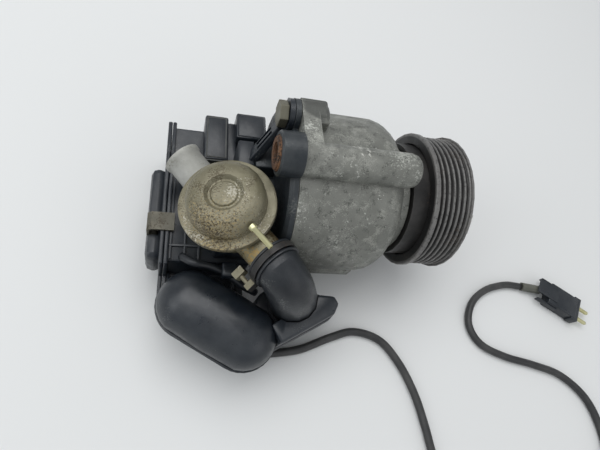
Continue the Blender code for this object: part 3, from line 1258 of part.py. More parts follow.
make_casting()
make_rear_cover()
make_bolts()
make_bush()
make_shaft_group()
make_vanes()
make_clutch()
make_filter()
make_clip()
make_arm()
make_valve()
make_bracket()
make_elbow()
make_duct()
make_silencer()
make_cables()
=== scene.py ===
"""Looks of a belt-driven air pump: its materials, fine shapes, cable, light and camera."""

import json
import math

import bmesh
import bpy
from mathutils import Matrix, Vector


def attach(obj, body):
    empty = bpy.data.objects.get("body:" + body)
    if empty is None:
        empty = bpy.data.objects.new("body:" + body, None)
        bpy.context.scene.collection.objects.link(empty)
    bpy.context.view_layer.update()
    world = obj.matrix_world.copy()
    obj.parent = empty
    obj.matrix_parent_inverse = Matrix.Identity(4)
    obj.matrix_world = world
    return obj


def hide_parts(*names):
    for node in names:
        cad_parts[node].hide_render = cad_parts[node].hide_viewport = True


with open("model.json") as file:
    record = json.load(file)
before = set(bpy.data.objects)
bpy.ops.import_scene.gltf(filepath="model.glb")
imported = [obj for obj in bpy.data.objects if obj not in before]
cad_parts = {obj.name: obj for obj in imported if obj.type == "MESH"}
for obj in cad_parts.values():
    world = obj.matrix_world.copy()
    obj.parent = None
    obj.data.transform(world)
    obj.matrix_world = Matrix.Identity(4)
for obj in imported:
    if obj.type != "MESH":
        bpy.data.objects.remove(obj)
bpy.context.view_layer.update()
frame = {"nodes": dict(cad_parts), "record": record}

MM = 0.001
SHARP = math.radians(33)  # a sharper turn than this is an edge, and a flatter one is a smooth surface
FLAT = math.radians(1.0)  # faces that turn less than this are one flat face
TRIANGLE_MERGE = 0.000004  # metres, the distance within which a node's loose triangles are joined
PIECE_MERGE = 0.000002
CABLE_MERGE = 0.00001
SHAFT_HEIGHT = 0.058
FACES_AXIS = 0.9  # a face whose normal has this much of the axis looks along it
NODES = frame["nodes"]
BODIES = frame["record"]["behaviour"]["bodies"]
BODY_OF = {node: body for body, nodes in BODIES.items() for node in nodes}
SLOT_OF = {row["node"]: row["material_slot"] for row in frame["record"]["subparts"]}

# ---------------------------------------------------------------- camera and cable
CAMERA_AT = Vector((-0.0988, -0.1302, 0.2989))
CAMERA_RIGHT = Vector((0.9589, -0.0475, 0.2806))
CAMERA_BACK = Vector((-0.2756, -0.3874, 0.8795))
LENS_MM, SENSOR_MM = 27.0, 36.0
NEAREST, FURTHEST = 0.01, 20.0


def make_camera():
    data = bpy.data.cameras.new("camera")
    data.lens, data.sensor_width = LENS_MM, SENSOR_MM
    data.clip_start, data.clip_end = NEAREST, FURTHEST
    camera = bpy.data.objects.new("camera", data)
    bpy.context.scene.collection.objects.link(camera)
    back = CAMERA_BACK.normalized()
    right = (CAMERA_RIGHT - back * CAMERA_RIGHT.dot(back)).normalized()
    up = back.cross(right)
    turn = Matrix((right, up, back)).transposed().to_4x4()
    camera.matrix_world = Matrix.Translation(CAMERA_AT) @ turn
    bpy.context.scene.camera = camera


make_camera()

CORD_D = 5.5
CORD_ROUTE = (
    (-37.6, -92.9, 3.8),
    (-29.1, -92.5, 3.3),
    (-10.6, -90.2, 2.95),
    (11.3, -82.6, 2.95),
    (29.5, -78.6, 2.95),
    (48.8, -85.0, 2.95),
    (62.0, -101.7, 2.95),
    (70.5, -121.7, 2.95),
    (74.9, -140.9, 2.95),
    (78.0, -160.0, 2.95),
    (84.0, -182.0, 2.95),
    (99.0, -204.0, 2.95),
    (124.0, -219.0, 2.95),
    (155.0, -224.0, 2.95),
    (186.0, -216.0, 2.95),
    (209.0, -197.0, 2.95),
    (222.0, -173.0, 2.95),
    (224.0, -150.0, 2.95),
    (217.0, -128.0, 2.95),
    (199.0, -111.7, 2.95),
    (176.0, -103.5, 2.95),
    (151.5, -97.0, 2.95),
    (132.0, -87.5, 2.95),
    (125.0, -72.5, 2.95),
    (131.5, -56.3, 2.95),
    (146.5, -45.5, 2.95),
    (166.0, -40.6, 3.0),
    (181.0, -41.6, 3.4),
)
CORD_STEP = 3.0


def smooth_route(route, spacing):
    """Points spaced along the smooth curve through a route's points."""
    points = [Vector(p) for p in route]
    points = [2 * points[0] - points[1]] + points + [2 * points[-1] - points[-2]]
    found = []
    for a, b, c, d in zip(points, points[1:], points[2:], points[3:]):
        count = max(1, round((c - b).length / spacing))
        for i in range(count):
            t = i / count
            bend = 2 * a - 5 * b + 4 * c - d
            twist = 3 * b - a - 3 * c + d
            found.append(0.5 * (2 * b + (c - a) * t + bend * t**2 + twist * t**3))
    found.append(points[-2])
    return found


def cable(name, route, diameter, spacing):
    """A round closed tube along a smooth route, and the points of its middle line."""
    curve = bpy.data.curves.new(name, "CURVE")
    curve.dimensions = "3D"
    curve.bevel_depth = diameter / 2 * MM
    curve.bevel_resolution = 5
    curve.use_fill_caps = True
    points = smooth_route(route, spacing)
    spline = curve.splines.new("POLY")
    spline.points.add(len(points) - 1)
    for point, place in zip(spline.points, points):
        point.co = (*(place * MM), 1.0)
    guide = bpy.data.objects.new(name + "_guide", curve)
    bpy.context.scene.collection.objects.link(guide)
    bpy.context.view_layer.update()
    graph = bpy.context.evaluated_depsgraph_get()
    mesh = bpy.data.meshes.new_from_object(guide.evaluated_get(graph))
    bpy.data.objects.remove(guide)
    bm = bmesh.new()
    bm.from_mesh(mesh)
    bmesh.ops.remove_doubles(bm, verts=bm.verts, dist=CABLE_MERGE)
    bmesh.ops.recalc_face_normals(bm, faces=bm.faces)
    for face in bm.faces:
        face.smooth = True
    bm.to_mesh(mesh)
    bm.free()
    obj = bpy.data.objects.new(name, mesh)
    bpy.context.scene.collection.objects.link(obj)
    return obj, [tuple(point * MM) for point in points]


power_cord, cord_path = cable("free_lead", CORD_ROUTE, CORD_D, CORD_STEP)
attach(power_cord, "pump")
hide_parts("power_cable")

# ---------------------------------------------------------------- where the tilted pieces stand
ELBOW_START = Vector((-46.9, -53.1, 76.8)) * MM
ELBOW_AHEAD = (Vector((-42.8, -58.9, 78.9)) * MM - ELBOW_START).normalized()


def placed(point, turn):
    """The local frame whose origin stands at a point in millimetres."""
    return Matrix.Translation(Vector(point) * MM) @ turn


VALVE_TURN = placed((-70.5, -26.5, 83.5), Matrix.Rotation(math.radians(-16.2), 4, "Y"))
ELBOW_TURN = Matrix.Translation(ELBOW_START) @ ELBOW_AHEAD.to_track_quat("Z", "Y").to_matrix().to_4x4()
SILENCER_TURN = placed((-69.5, -78.2, 38.0), Matrix.Rotation(math.atan2(-0.515, 0.857), 4, "Z"))
PLUG_TURN = placed((204.4, -47.4, 5.3), Matrix.Rotation(math.atan2(-0.518, 0.855), 4, "Z"))
BUSH_TURN = placed((-50.3, -7.0, 108.0), Matrix.Rotation(math.pi / 2, 4, "Y"))
UPRIGHT = Matrix.Identity(4)


# ---------------------------------------------------------------- effects that the materials share
class Group:
    """A shader node group with named inputs and outputs, and short ways to add nodes to it."""

    def __init__(self, name, inputs=(), outputs=()):
        self.tree = bpy.data.node_groups.new(name, "ShaderNodeTree")
        for label, kind, value in inputs:
            socket = self.tree.interface.new_socket(label, in_out="INPUT", socket_type=kind)
            socket.default_value = value
        for label, kind in outputs:
            self.tree.interface.new_socket(label, in_out="OUTPUT", socket_type=kind)
        self.inlet = self.tree.nodes.new("NodeGroupInput")
        self.outlet = self.tree.nodes.new("NodeGroupOutput")

    def node(self, kind, **settings):
        made = self.tree.nodes.new(kind)
        for key, value in settings.items():
            setattr(made, key, value)
        return made

    def link(self, start, end):
        self.tree.links.new(start, end)

    def take(self, label, end):
        self.link(self.inlet.outputs[label], end)

    def give(self, start, label):
        self.link(start, self.outlet.inputs[label])

    def noise(self, scale_label, detail, roughness):
        place = self.node("ShaderNodeTexCoord")
        noise = self.node("ShaderNodeTexNoise")
        noise.inputs["Detail"].default_value = detail
        noise.inputs["Roughness"].default_value = roughness
        self.link(place.outputs["Object"], noise.inputs["Vector"])
        self.take(scale_label, noise.inputs["Scale"])
        return noise.outputs["Fac"]

    def ramp(self, value, low, high):
        """A value between low and high brought to 0 to 1. Low and high are numbers or an input's label."""
        ramp = self.node("ShaderNodeMapRange", interpolation_type="SMOOTHSTEP")
        self.link(value, ramp.inputs["Value"])
        for label, bound in (("From Min", low), ("From Max", high)):
            if isinstance(bound, str):
                self.take(bound, ramp.inputs[label])
            else:
                ramp.inputs[label].default_value = bound
        return ramp.outputs["Result"]

    def calc(self, operation, first, second):
        """One Math node. Each value is a number, an input's label or a socket."""
        made = self.node("ShaderNodeMath", operation=operation)
        for i, value in enumerate((first, second)):
            if isinstance(value, (int, float)):
                made.inputs[i].default_value = value
            elif isinstance(value, str):
                self.take(value, made.inputs[i])
            else:
                self.link(value, made.inputs[i])
        return made.outputs[0]


FLOAT = "NodeSocketFloat"
MASK_OUT = [("Mask", FLOAT)]


def blotches_group():
    """Soft irregular patches, as in weathering and handling marks."""
    g = Group(
        "blotches",
        [("Scale", FLOAT, 60.0), ("Low", FLOAT, 0.4), ("High", FLOAT, 0.6)],
        MASK_OUT,
    )
    g.give(g.ramp(g.noise("Scale", 8.0, 0.62), "Low", "High"), "Mask")
    return g.tree


def specks_group():
    """Small spots that gather in patches, as corrosion does."""
    g = Group(
        "corrosion_specks",
        [("Spot Scale", FLOAT, 900.0), ("Patch Scale", FLOAT, 70.0), ("Cover", FLOAT, 0.5)],
        MASK_OUT,
    )
    spots = g.noise("Spot Scale", 5.0, 0.7)
    patches = g.noise("Patch Scale", 3.0, 0.5)
    lift = g.calc("MULTIPLY", g.calc("SUBTRACT", patches, 0.5), 0.9)
    raised = g.calc("ADD", spots, lift)
    level = g.calc("SUBTRACT", 1.0, "Cover")
    over = g.calc("SUBTRACT", raised, level)
    g.give(g.ramp(over, 0.0, 0.07), "Mask")
    return g.tree


def edge_wear_group():
    """Corners and ridges, where a finish rubs off, broken up by noise."""
    g = Group(
        "edge_wear",
        [("Radius", FLOAT, 0.0008), ("Noise Scale", FLOAT, 220.0), ("Amount", FLOAT, 0.5)],
        MASK_OUT,
    )
    rounded = g.node("ShaderNodeBevel", samples=4)
    g.take("Radius", rounded.inputs["Radius"])
    plain = g.node("ShaderNodeNewGeometry")
    match = g.node("ShaderNodeVectorMath", operation="DOT_PRODUCT")
    g.link(rounded.outputs["Normal"], match.inputs[0])
    g.link(plain.outputs["Normal"], match.inputs[1])
    edge = g.ramp(g.calc("SUBTRACT", 1.0, match.outputs["Value"]), 0.02, 0.2)
    broken = g.ramp(g.noise("Noise Scale", 4.0, 0.6), 0.35, 0.6)
    g.give(g.calc("MULTIPLY", g.calc("MULTIPLY", edge, broken), "Amount"), "Mask")
    return g.tree


def dust_group():
    """Pale dust and wipe marks on faces that look up."""
    g = Group(
        "settled_dust",
        [("Scale", FLOAT, 40.0), ("Amount", FLOAT, 0.4)],
        MASK_OUT,
    )
    facing = g.node("ShaderNodeNewGeometry")
    parts = g.node("ShaderNodeSeparateXYZ")
    g.link(facing.outputs["Normal"], parts.inputs["Vector"])
    upward = g.ramp(parts.outputs["Z"], 0.1, 1.0)
    cloud = g.ramp(g.noise("Scale", 7.0, 0.65), 0.35, 0.75)
    g.give(g.calc("MULTIPLY", g.calc("MULTIPLY", upward, cloud), "Amount"), "Mask")
    return g.tree


def grain_group():
    """The fine relief of a cast, moulded or plated surface, on top of slower waves."""
    g = Group(
        "surface_grain",
        [("Grain Scale", FLOAT, 1500.0), ("Wave Scale", FLOAT, 120.0), ("Waves", FLOAT, 0.3)],
        [("Height", FLOAT)],
    )
    grain = g.noise("Grain Scale", 3.0, 0.6)
    waves = g.calc("MULTIPLY", g.noise("Wave Scale", 4.0, 0.5), "Waves")
    g.give(g.calc("ADD", grain, waves), "Height")
    return g.tree


PLACE_IN = [("X", FLOAT, 0.0), ("Y", FLOAT, 0.0), ("Z", FLOAT, 0.0)]


def nearness(g):
    """1 at the place that the group is given, 0 at its reach and below 0 beyond."""
    place = g.node("ShaderNodeTexCoord")
    centre = g.node("ShaderNodeCombineXYZ")
    for label in "XYZ":
        g.take(label, centre.inputs[label])
    apart = g.node("ShaderNodeVectorMath", operation="DISTANCE")
    g.link(place.outputs["Object"], apart.inputs[0])
    g.link(centre.outputs["Vector"], apart.inputs[1])
    return g.calc("SUBTRACT", 1.0, g.calc("DIVIDE", apart.outputs["Value"], "Reach"))


def gathered_group():
    """Fine spots that gather round one place and thin out away from it."""
    g = Group(
        "gathered_spots",
        PLACE_IN + [("Reach", FLOAT, 0.02), ("Spot Scale", FLOAT, 900.0)],
        MASK_OUT,
    )
    near = nearness(g)
    spots = g.noise("Spot Scale", 7.0, 0.75)
    level = g.calc("ADD", spots, g.calc("MULTIPLY", g.calc("MAXIMUM", near, -0.6), 0.15))
    g.give(g.ramp(level, 0.58, 0.64), "Mask")
    return g.tree


def zone_group():
    """A soft round zone about one place."""
    g = Group(
        "soft_zone",
        PLACE_IN + [("Reach", FLOAT, 0.01), ("Noise Scale", FLOAT, 200.0)],
        MASK_OUT,
    )
    near = nearness(g)
    ragged = g.calc("MULTIPLY", g.calc("SUBTRACT", g.noise("Noise Scale", 5.0, 0.6), 0.5), 0.5)
    g.give(g.ramp(g.calc("ADD", near, ragged), 0.0, 0.22), "Mask")
    return g.tree


def crest_group():
    """Rubbed crests of a turned piece about the shaft, by their distance from its axis."""
    g = Group(
        "rubbed_crests",
        [
            ("Axis Height", FLOAT, 0.058),
            ("Low", FLOAT, 0.0415),
            ("High", FLOAT, 0.0425),
            ("Noise Scale", FLOAT, 300.0),
        ],
        MASK_OUT,
    )
    place = g.node("ShaderNodeTexCoord")
    parts = g.node("ShaderNodeSeparateXYZ")
    g.link(place.outputs["Object"], parts.inputs["Vector"])
    up = g.calc("SUBTRACT", parts.outputs["Z"], "Axis Height")
    across = parts.outputs["Y"]
    square = g.calc("ADD", g.calc("MULTIPLY", across, across), g.calc("MULTIPLY", up, up))
    radius = g.calc("SQRT", square, 0.0)
    crest = g.ramp(radius, "Low", "High")
    broken = g.ramp(g.noise("Noise Scale", 6.0, 0.7), 0.25, 0.52)
    g.give(g.calc("MULTIPLY", crest, broken), "Mask")
    return g.tree


BLOTCHES, SPECKS, WEAR = blotches_group(), specks_group(), edge_wear_group()
DUST, GRAIN = dust_group(), grain_group()
GATHERED, CRESTS, ZONE = gathered_group(), crest_group(), zone_group()


# ---------------------------------------------------------------- materials
class Finish:
    """One material: a Principled shader, and layers of colour laid over its base colour in turn."""

    def __init__(self, name, colour, second, metallic, roughness):
        self.material = bpy.data.materials.new(name)
        self.material.use_nodes = True
        self.tree = self.material.node_tree
        self.shader = self.tree.nodes["Principled BSDF"]
        self.shader.inputs["Metallic"].default_value = metallic
        self.colour = None
        self.base = colour
        low, high = roughness
        patches = self.effect(BLOTCHES, Scale=55.0, Low=0.38, High=0.64)
        self.layer(patches, second)
        spread = self.tree.nodes.new("ShaderNodeMapRange")
        spread.inputs["To Min"].default_value = low
        spread.inputs["To Max"].default_value = high
        uneven = self.effect(BLOTCHES, Scale=140.0, Low=0.3, High=0.7)
        self.tree.links.new(uneven, spread.inputs["Value"])
        self.tree.links.new(spread.outputs["Result"], self.shader.inputs["Roughness"])

    def effect(self, group, **values):
        made = self.tree.nodes.new("ShaderNodeGroup")
        made.node_tree = group
        for label, value in values.items():
            made.inputs[label.replace("_", " ")].default_value = value
        return made.outputs[0]

    def layer(self, mask, colour):
        mix = self.tree.nodes.new("ShaderNodeMix")
        mix.data_type = "RGBA"
        self.tree.links.new(mask, mix.inputs["Factor"])
        if self.colour is None:
            mix.inputs["A"].default_value = (*self.base, 1.0)
        else:
            self.tree.links.new(self.colour, mix.inputs["A"])
        mix.inputs["B"].default_value = (*colour, 1.0)
        self.colour = mix.outputs["Result"]
        self.tree.links.new(self.colour, self.shader.inputs["Base Color"])

    def relief(self, strength, distance, **values):
        bump = self.tree.nodes.new("ShaderNodeBump")
        bump.inputs["Strength"].default_value = strength
        bump.inputs["Distance"].default_value = distance
        self.tree.links.new(self.effect(GRAIN, **values), bump.inputs["Height"])
        self.tree.links.new(bump.outputs["Normal"], self.shader.inputs["Normal"])


TUBE_SCUFF = {"X": -0.0035, "Y": -0.0015, "Z": 0.1165, "Reach": 0.0060}
TUBE_END = {"X": 0.0185, "Y": -0.004, "Z": 0.1165, "Reach": 0.012}
LUG_FOOT = {"X": -0.028, "Y": 0.021, "Z": 0.108, "Reach": 0.0115}
CAP_RUST = {"X": -0.080, "Y": -0.050, "Z": 0.090}
PIPE_RUST = {"X": -0.056, "Y": -0.054, "Z": 0.080, "Reach": 0.010}
PIPE_GREY = {"X": -0.040, "Y": -0.046, "Z": 0.086, "Reach": 0.011}


def cast_finish():
    f = Finish("cast_aluminium_skin", (0.158, 0.162, 0.145), (0.198, 0.202, 0.182), 0.3, (0.40, 0.60))
    f.layer(f.effect(BLOTCHES, Scale=42.0, Low=0.48, High=0.78), (0.225, 0.23, 0.205))
    f.layer(f.effect(SPECKS, Spot_Scale=1700.0, Patch_Scale=150.0, Cover=0.44), (0.285, 0.29, 0.26))
    f.layer(f.effect(SPECKS, Spot_Scale=1500.0, Patch_Scale=230.0, Cover=0.40), (0.098, 0.101, 0.090))
    f.layer(f.effect(SPECKS, Spot_Scale=700.0, Patch_Scale=80.0, Cover=0.325), (0.44, 0.45, 0.41))
    f.layer(f.effect(ZONE, **LUG_FOOT, Noise_Scale=160.0), (0.085, 0.088, 0.080))
    f.layer(f.effect(GATHERED, **TUBE_SCUFF, Spot_Scale=300.0), (0.62, 0.62, 0.57))
    f.layer(f.effect(GATHERED, **TUBE_END, Spot_Scale=700.0), (0.40, 0.41, 0.37))
    f.layer(f.effect(WEAR, Radius=0.0010, Noise_Scale=240.0, Amount=0.5), (0.36, 0.365, 0.33))
    f.relief(0.55, 0.0004, Grain_Scale=1300.0, Wave_Scale=260.0, Waves=0.8)
    return f.material


def coated_finish():
    f = Finish("coated_casting_skin", (0.014, 0.019, 0.024), (0.026, 0.032, 0.037), 0.1, (0.34, 0.5))
    f.layer(f.effect(SPECKS, Spot_Scale=900.0, Patch_Scale=80.0, Cover=0.35), (0.075, 0.08, 0.078))
    f.layer(f.effect(WEAR, Radius=0.0009, Noise_Scale=260.0, Amount=0.5), (0.13, 0.135, 0.13))
    f.layer(f.effect(DUST, Scale=55.0, Amount=0.14), (0.17, 0.175, 0.165))
    f.relief(0.4, 0.0003, Grain_Scale=1300.0, Wave_Scale=200.0, Waves=0.6)
    return f.material


def plastic_finish():
    f = Finish("moulded_plastic", (0.009, 0.0125, 0.0175), (0.0155, 0.020, 0.026), 0.0, (0.27, 0.42))
    f.layer(f.effect(WEAR, Radius=0.0006, Noise_Scale=260.0, Amount=0.3), (0.07, 0.08, 0.088))
    f.layer(f.effect(DUST, Scale=36.0, Amount=0.20), (0.115, 0.122, 0.125))
    f.layer(f.effect(SPECKS, Spot_Scale=1500.0, Patch_Scale=60.0, Cover=0.31), (0.115, 0.12, 0.12))
    f.relief(0.25, 0.00015, Grain_Scale=2200.0, Wave_Scale=90.0, Waves=1.2)
    return f.material


def dusty_plastic_finish():
    f = Finish("dusty_plastic", (0.032, 0.035, 0.034), (0.052, 0.055, 0.052), 0.0, (0.45, 0.62))
    f.layer(f.effect(DUST, Scale=60.0, Amount=0.35), (0.13, 0.133, 0.12))
    f.layer(f.effect(WEAR, Radius=0.0006, Noise_Scale=260.0, Amount=0.3), (0.15, 0.155, 0.145))
    f.relief(0.3, 0.0002, Grain_Scale=1800.0, Wave_Scale=120.0, Waves=1.0)
    return f.material


def olive_finish():
    f = Finish("olive_zinc_plate", (0.165, 0.152, 0.098), (0.225, 0.207, 0.142), 0.35, (0.36, 0.58))
    f.layer(f.effect(BLOTCHES, Scale=90.0, Low=0.5, High=0.76), (0.268, 0.252, 0.182))
    f.layer(f.effect(SPECKS, Spot_Scale=1300.0, Patch_Scale=90.0, Cover=0.42), (0.098, 0.084, 0.050))
    f.layer(f.effect(GATHERED, **CAP_RUST, Reach=0.026, Spot_Scale=1100.0), (0.30, 0.235, 0.115))
    f.layer(f.effect(GATHERED, **CAP_RUST, Reach=0.022, Spot_Scale=800.0), (0.060, 0.045, 0.024))
    f.layer(f.effect(SPECKS, Spot_Scale=1000.0, Patch_Scale=60.0, Cover=0.36), (0.41, 0.39, 0.32))
    f.layer(f.effect(WEAR, Radius=0.0008, Noise_Scale=200.0, Amount=0.4), (0.31, 0.29, 0.225))
    f.relief(0.5, 0.0003, Grain_Scale=1000.0, Wave_Scale=260.0, Waves=0.8)
    return f.material


def yellow_finish():
    f = Finish("yellow_zinc_plate", (0.22, 0.195, 0.115), (0.30, 0.275, 0.185), 0.45, (0.34, 0.6))
    f.layer(f.effect(GATHERED, **PIPE_RUST, Spot_Scale=500.0), (0.36, 0.24, 0.08))
    f.layer(f.effect(GATHERED, **PIPE_GREY, Spot_Scale=400.0), (0.34, 0.335, 0.30))
    f.layer(f.effect(SPECKS, Spot_Scale=800.0, Patch_Scale=60.0, Cover=0.43), (0.10, 0.07, 0.03))
    f.relief(0.45, 0.0003, Grain_Scale=900.0, Wave_Scale=200.0, Waves=0.8)
    return f.material


def stub_finish():
    f = Finish("oxidised_alloy_skin", (0.36, 0.36, 0.33), (0.47, 0.47, 0.44), 0.3, (0.45, 0.68))
    f.layer(f.effect(SPECKS, Spot_Scale=800.0, Patch_Scale=60.0, Cover=0.40), (0.24, 0.235, 0.20))
    f.layer(f.effect(WEAR, Radius=0.0008, Noise_Scale=200.0, Amount=0.6), (0.56, 0.56, 0.52))
    f.relief(0.45, 0.0003, Grain_Scale=900.0, Wave_Scale=180.0, Waves=0.8)
    return f.material


def steel_finish():
    f = Finish("ground_steel", (0.32, 0.32, 0.31), (0.40, 0.39, 0.37), 0.95, (0.25, 0.45))
    f.layer(f.effect(SPECKS, Spot_Scale=900.0, Patch_Scale=60.0, Cover=0.33), (0.12, 0.08, 0.045))
    f.relief(0.2, 0.0001, Grain_Scale=1800.0, Wave_Scale=300.0, Waves=0.3)
    return f.material


def clip_finish():
    f = Finish("tarnished_clip_steel", (0.10, 0.095, 0.075), (0.145, 0.135, 0.105), 0.5, (0.45, 0.62))
    f.layer(f.effect(SPECKS, Spot_Scale=900.0, Patch_Scale=80.0, Cover=0.42), (0.06, 0.05, 0.035))
    f.layer(f.effect(WEAR, Radius=0.0006, Noise_Scale=200.0, Amount=0.5), (0.26, 0.25, 0.20))
    f.relief(0.4, 0.0002, Grain_Scale=1200.0, Wave_Scale=300.0, Waves=0.6)
    return f.material


def bolt_finish():
    f = Finish("dull_bolt_plate", (0.115, 0.11, 0.08), (0.165, 0.158, 0.12), 0.5, (0.42, 0.6))
    f.layer(f.effect(SPECKS, Spot_Scale=900.0, Patch_Scale=80.0, Cover=0.40), (0.06, 0.055, 0.04))
    f.layer(f.effect(WEAR, Radius=0.0008, Noise_Scale=200.0, Amount=0.5), (0.30, 0.29, 0.23))
    f.relief(0.4, 0.0002, Grain_Scale=1000.0, Wave_Scale=300.0, Waves=0.6)
    return f.material


def dark_steel_finish():
    f = Finish("dark_worn_steel", (0.026, 0.0255, 0.025), (0.046, 0.044, 0.042), 0.45, (0.34, 0.55))
    f.layer(f.effect(SPECKS, Spot_Scale=900.0, Patch_Scale=60.0, Cover=0.35), (0.075, 0.055, 0.042))
    f.layer(f.effect(WEAR, Radius=0.0006, Noise_Scale=160.0, Amount=0.5), (0.17, 0.165, 0.155))
    f.relief(0.35, 0.0002, Grain_Scale=1200.0, Wave_Scale=200.0, Waves=0.5)
    return f.material


def pulley_finish():
    f = Finish("pulley_steel", (0.020, 0.020, 0.020), (0.034, 0.033, 0.032), 0.4, (0.34, 0.52))
    crests = f.effect(CRESTS, Axis_Height=SHAFT_HEIGHT, Low=0.0415, High=0.0424, Noise_Scale=500.0)
    f.layer(crests, (0.17, 0.166, 0.16))
    f.layer(f.effect(SPECKS, Spot_Scale=1100.0, Patch_Scale=50.0, Cover=0.36), (0.10, 0.085, 0.072))
    f.layer(f.effect(WEAR, Radius=0.0005, Noise_Scale=160.0, Amount=0.35), (0.22, 0.215, 0.205))
    f.relief(0.35, 0.0002, Grain_Scale=1200.0, Wave_Scale=200.0, Waves=0.5)
    return f.material


def rust_finish():
    f = Finish("rusty_steel_skin", (0.095, 0.045, 0.024), (0.19, 0.095, 0.045), 0.1, (0.7, 0.9))
    f.layer(f.effect(SPECKS, Spot_Scale=1000.0, Patch_Scale=90.0, Cover=0.46), (0.035, 0.022, 0.015))
    f.relief(0.8, 0.0004, Grain_Scale=900.0, Wave_Scale=300.0, Waves=0.8)
    return f.material


def brass_finish():
    f = Finish("pale_brass", (0.52, 0.49, 0.25), (0.62, 0.60, 0.36), 0.8, (0.25, 0.42))
    f.layer(f.effect(SPECKS, Spot_Scale=900.0, Patch_Scale=120.0, Cover=0.33), (0.25, 0.23, 0.1))
    f.relief(0.15, 0.0001, Grain_Scale=1500.0, Wave_Scale=300.0, Waves=0.4)
    return f.material


def winding_finish():
    f = Finish("varnished_winding", (0.25, 0.09, 0.04), (0.34, 0.14, 0.06), 0.6, (0.25, 0.4))
    f.relief(0.4, 0.0003, Grain_Scale=1400.0, Wave_Scale=700.0, Waves=1.0)
    return f.material


def rubber_finish():
    f = Finish("moulded_rubber", (0.0075, 0.0095, 0.0125), (0.0125, 0.0155, 0.0195), 0.0, (0.30, 0.46))
    f.layer(f.effect(DUST, Scale=60.0, Amount=0.12), (0.10, 0.11, 0.12))
    f.layer(f.effect(SPECKS, Spot_Scale=1100.0, Patch_Scale=70.0, Cover=0.33), (0.075, 0.08, 0.08))
    f.relief(0.35, 0.0003, Grain_Scale=1400.0, Wave_Scale=150.0, Waves=1.0)
    return f.material


def paper_finish():
    f = Finish("pleated_paper", (0.55, 0.47, 0.30), (0.45, 0.37, 0.22), 0.0, (0.8, 0.95))
    f.relief(0.5, 0.0004, Grain_Scale=1200.0, Wave_Scale=500.0, Waves=1.0)
    return f.material


def jacket_finish():
    f = Finish("cable_jacket_skin", (0.020, 0.0205, 0.022), (0.034, 0.034, 0.034), 0.0, (0.38, 0.54))
    f.layer(f.effect(DUST, Scale=90.0, Amount=0.22), (0.13, 0.13, 0.125))
    f.relief(0.3, 0.0002, Grain_Scale=1600.0, Wave_Scale=260.0, Waves=0.6)
    return f.material


def sleeve_finish():
    f = Finish("grey_sleeve_skin", (0.075, 0.078, 0.064), (0.11, 0.11, 0.09), 0.0, (0.5, 0.7))
    f.layer(f.effect(DUST, Scale=90.0, Amount=0.3), (0.20, 0.20, 0.17))
    f.relief(0.5, 0.0003, Grain_Scale=1300.0, Wave_Scale=400.0, Waves=0.8)
    return f.material


FINISHES = {
    "cast_aluminium": cast_finish(),
    "black_coated_casting": coated_finish(),
    "black_plastic": plastic_finish(),
    "olive_zinc": olive_finish(),
    "yellow_zinc": yellow_finish(),
    "oxidised_alloy": stub_finish(),
    "bearing_steel": steel_finish(),
    "dark_steel": dark_steel_finish(),
    "rusty_steel": rust_finish(),
    "brass": brass_finish(),
    "coil_winding": winding_finish(),
    "rubber": rubber_finish(),
    "filter_paper": paper_finish(),
    "cable_jacket": jacket_finish(),
    "grey_sleeve": sleeve_finish(),
}


DUSTY = dusty_plastic_finish()
OWN_FINISH = {  # nodes whose finish differs from others of their slot
    "pulley": pulley_finish(),
    "cover_clip": clip_finish(),
    "cover_bolt_1": bolt_finish(),
    "cover_bolt_2": bolt_finish(),
    "cover_bolt_3": bolt_finish(),
}


def paint(obj, material):
    obj.data.materials.clear()
    obj.data.materials.append(material)


paint(power_cord, FINISHES["cable_jacket"])

# ---------------------------------------------------------------- fine copies of the rigid pieces
ROUNDING = {  # radius of the rounded edges, in millimetres
    "pump_casting": 0.9,
    "rear_cover": 0.7,
    "filter_housing": 0.5,
    "filter_cover": 0.4,
    "outlet_duct": 0.9,
    "silencer_top": 0.35,
    "silencer_base": 0.35,
    "mounting_arm": 0.6,
    "cover_clip": 0.3,
    "hose_clamp": 0.3,
    "cover_bolt_1": 0.4,
    "cover_bolt_2": 0.4,
    "cover_bolt_3": 0.4,
    "valve_cap": 0.3,
    "valve_body": 0.3,
    "valve_bracket": 0.5,
    "pulley": 0.2,
    "coil_housing": 0.3,
    "armature_plate": 0.3,
    "clutch_hub": 0.4,
    "hub_nut": 0.5,
    "armature_spring": 0.2,
    "plug_body": 0.6,
    "cable_grip": 0.8,
    "mount_bush": 0.4,
}
HIDDEN_INSIDE = {
    "rotor_drum",
    "vane_a",
    "vane_b",
    "vane_shaft",
    "shaft_seal",
    "rear_bearing_outer_ring",
    "rear_bearing_inner_ring",
    "rear_bearing_balls",
    "front_bearing_outer_ring",
    "front_bearing_inner_ring",
    "front_bearing_balls",
    "clutch_coil",
    "diaphragm",
    "valve_spring",
    "valve_stem",
    "filter_element",
    "power_cable",
}
fine_of = {}


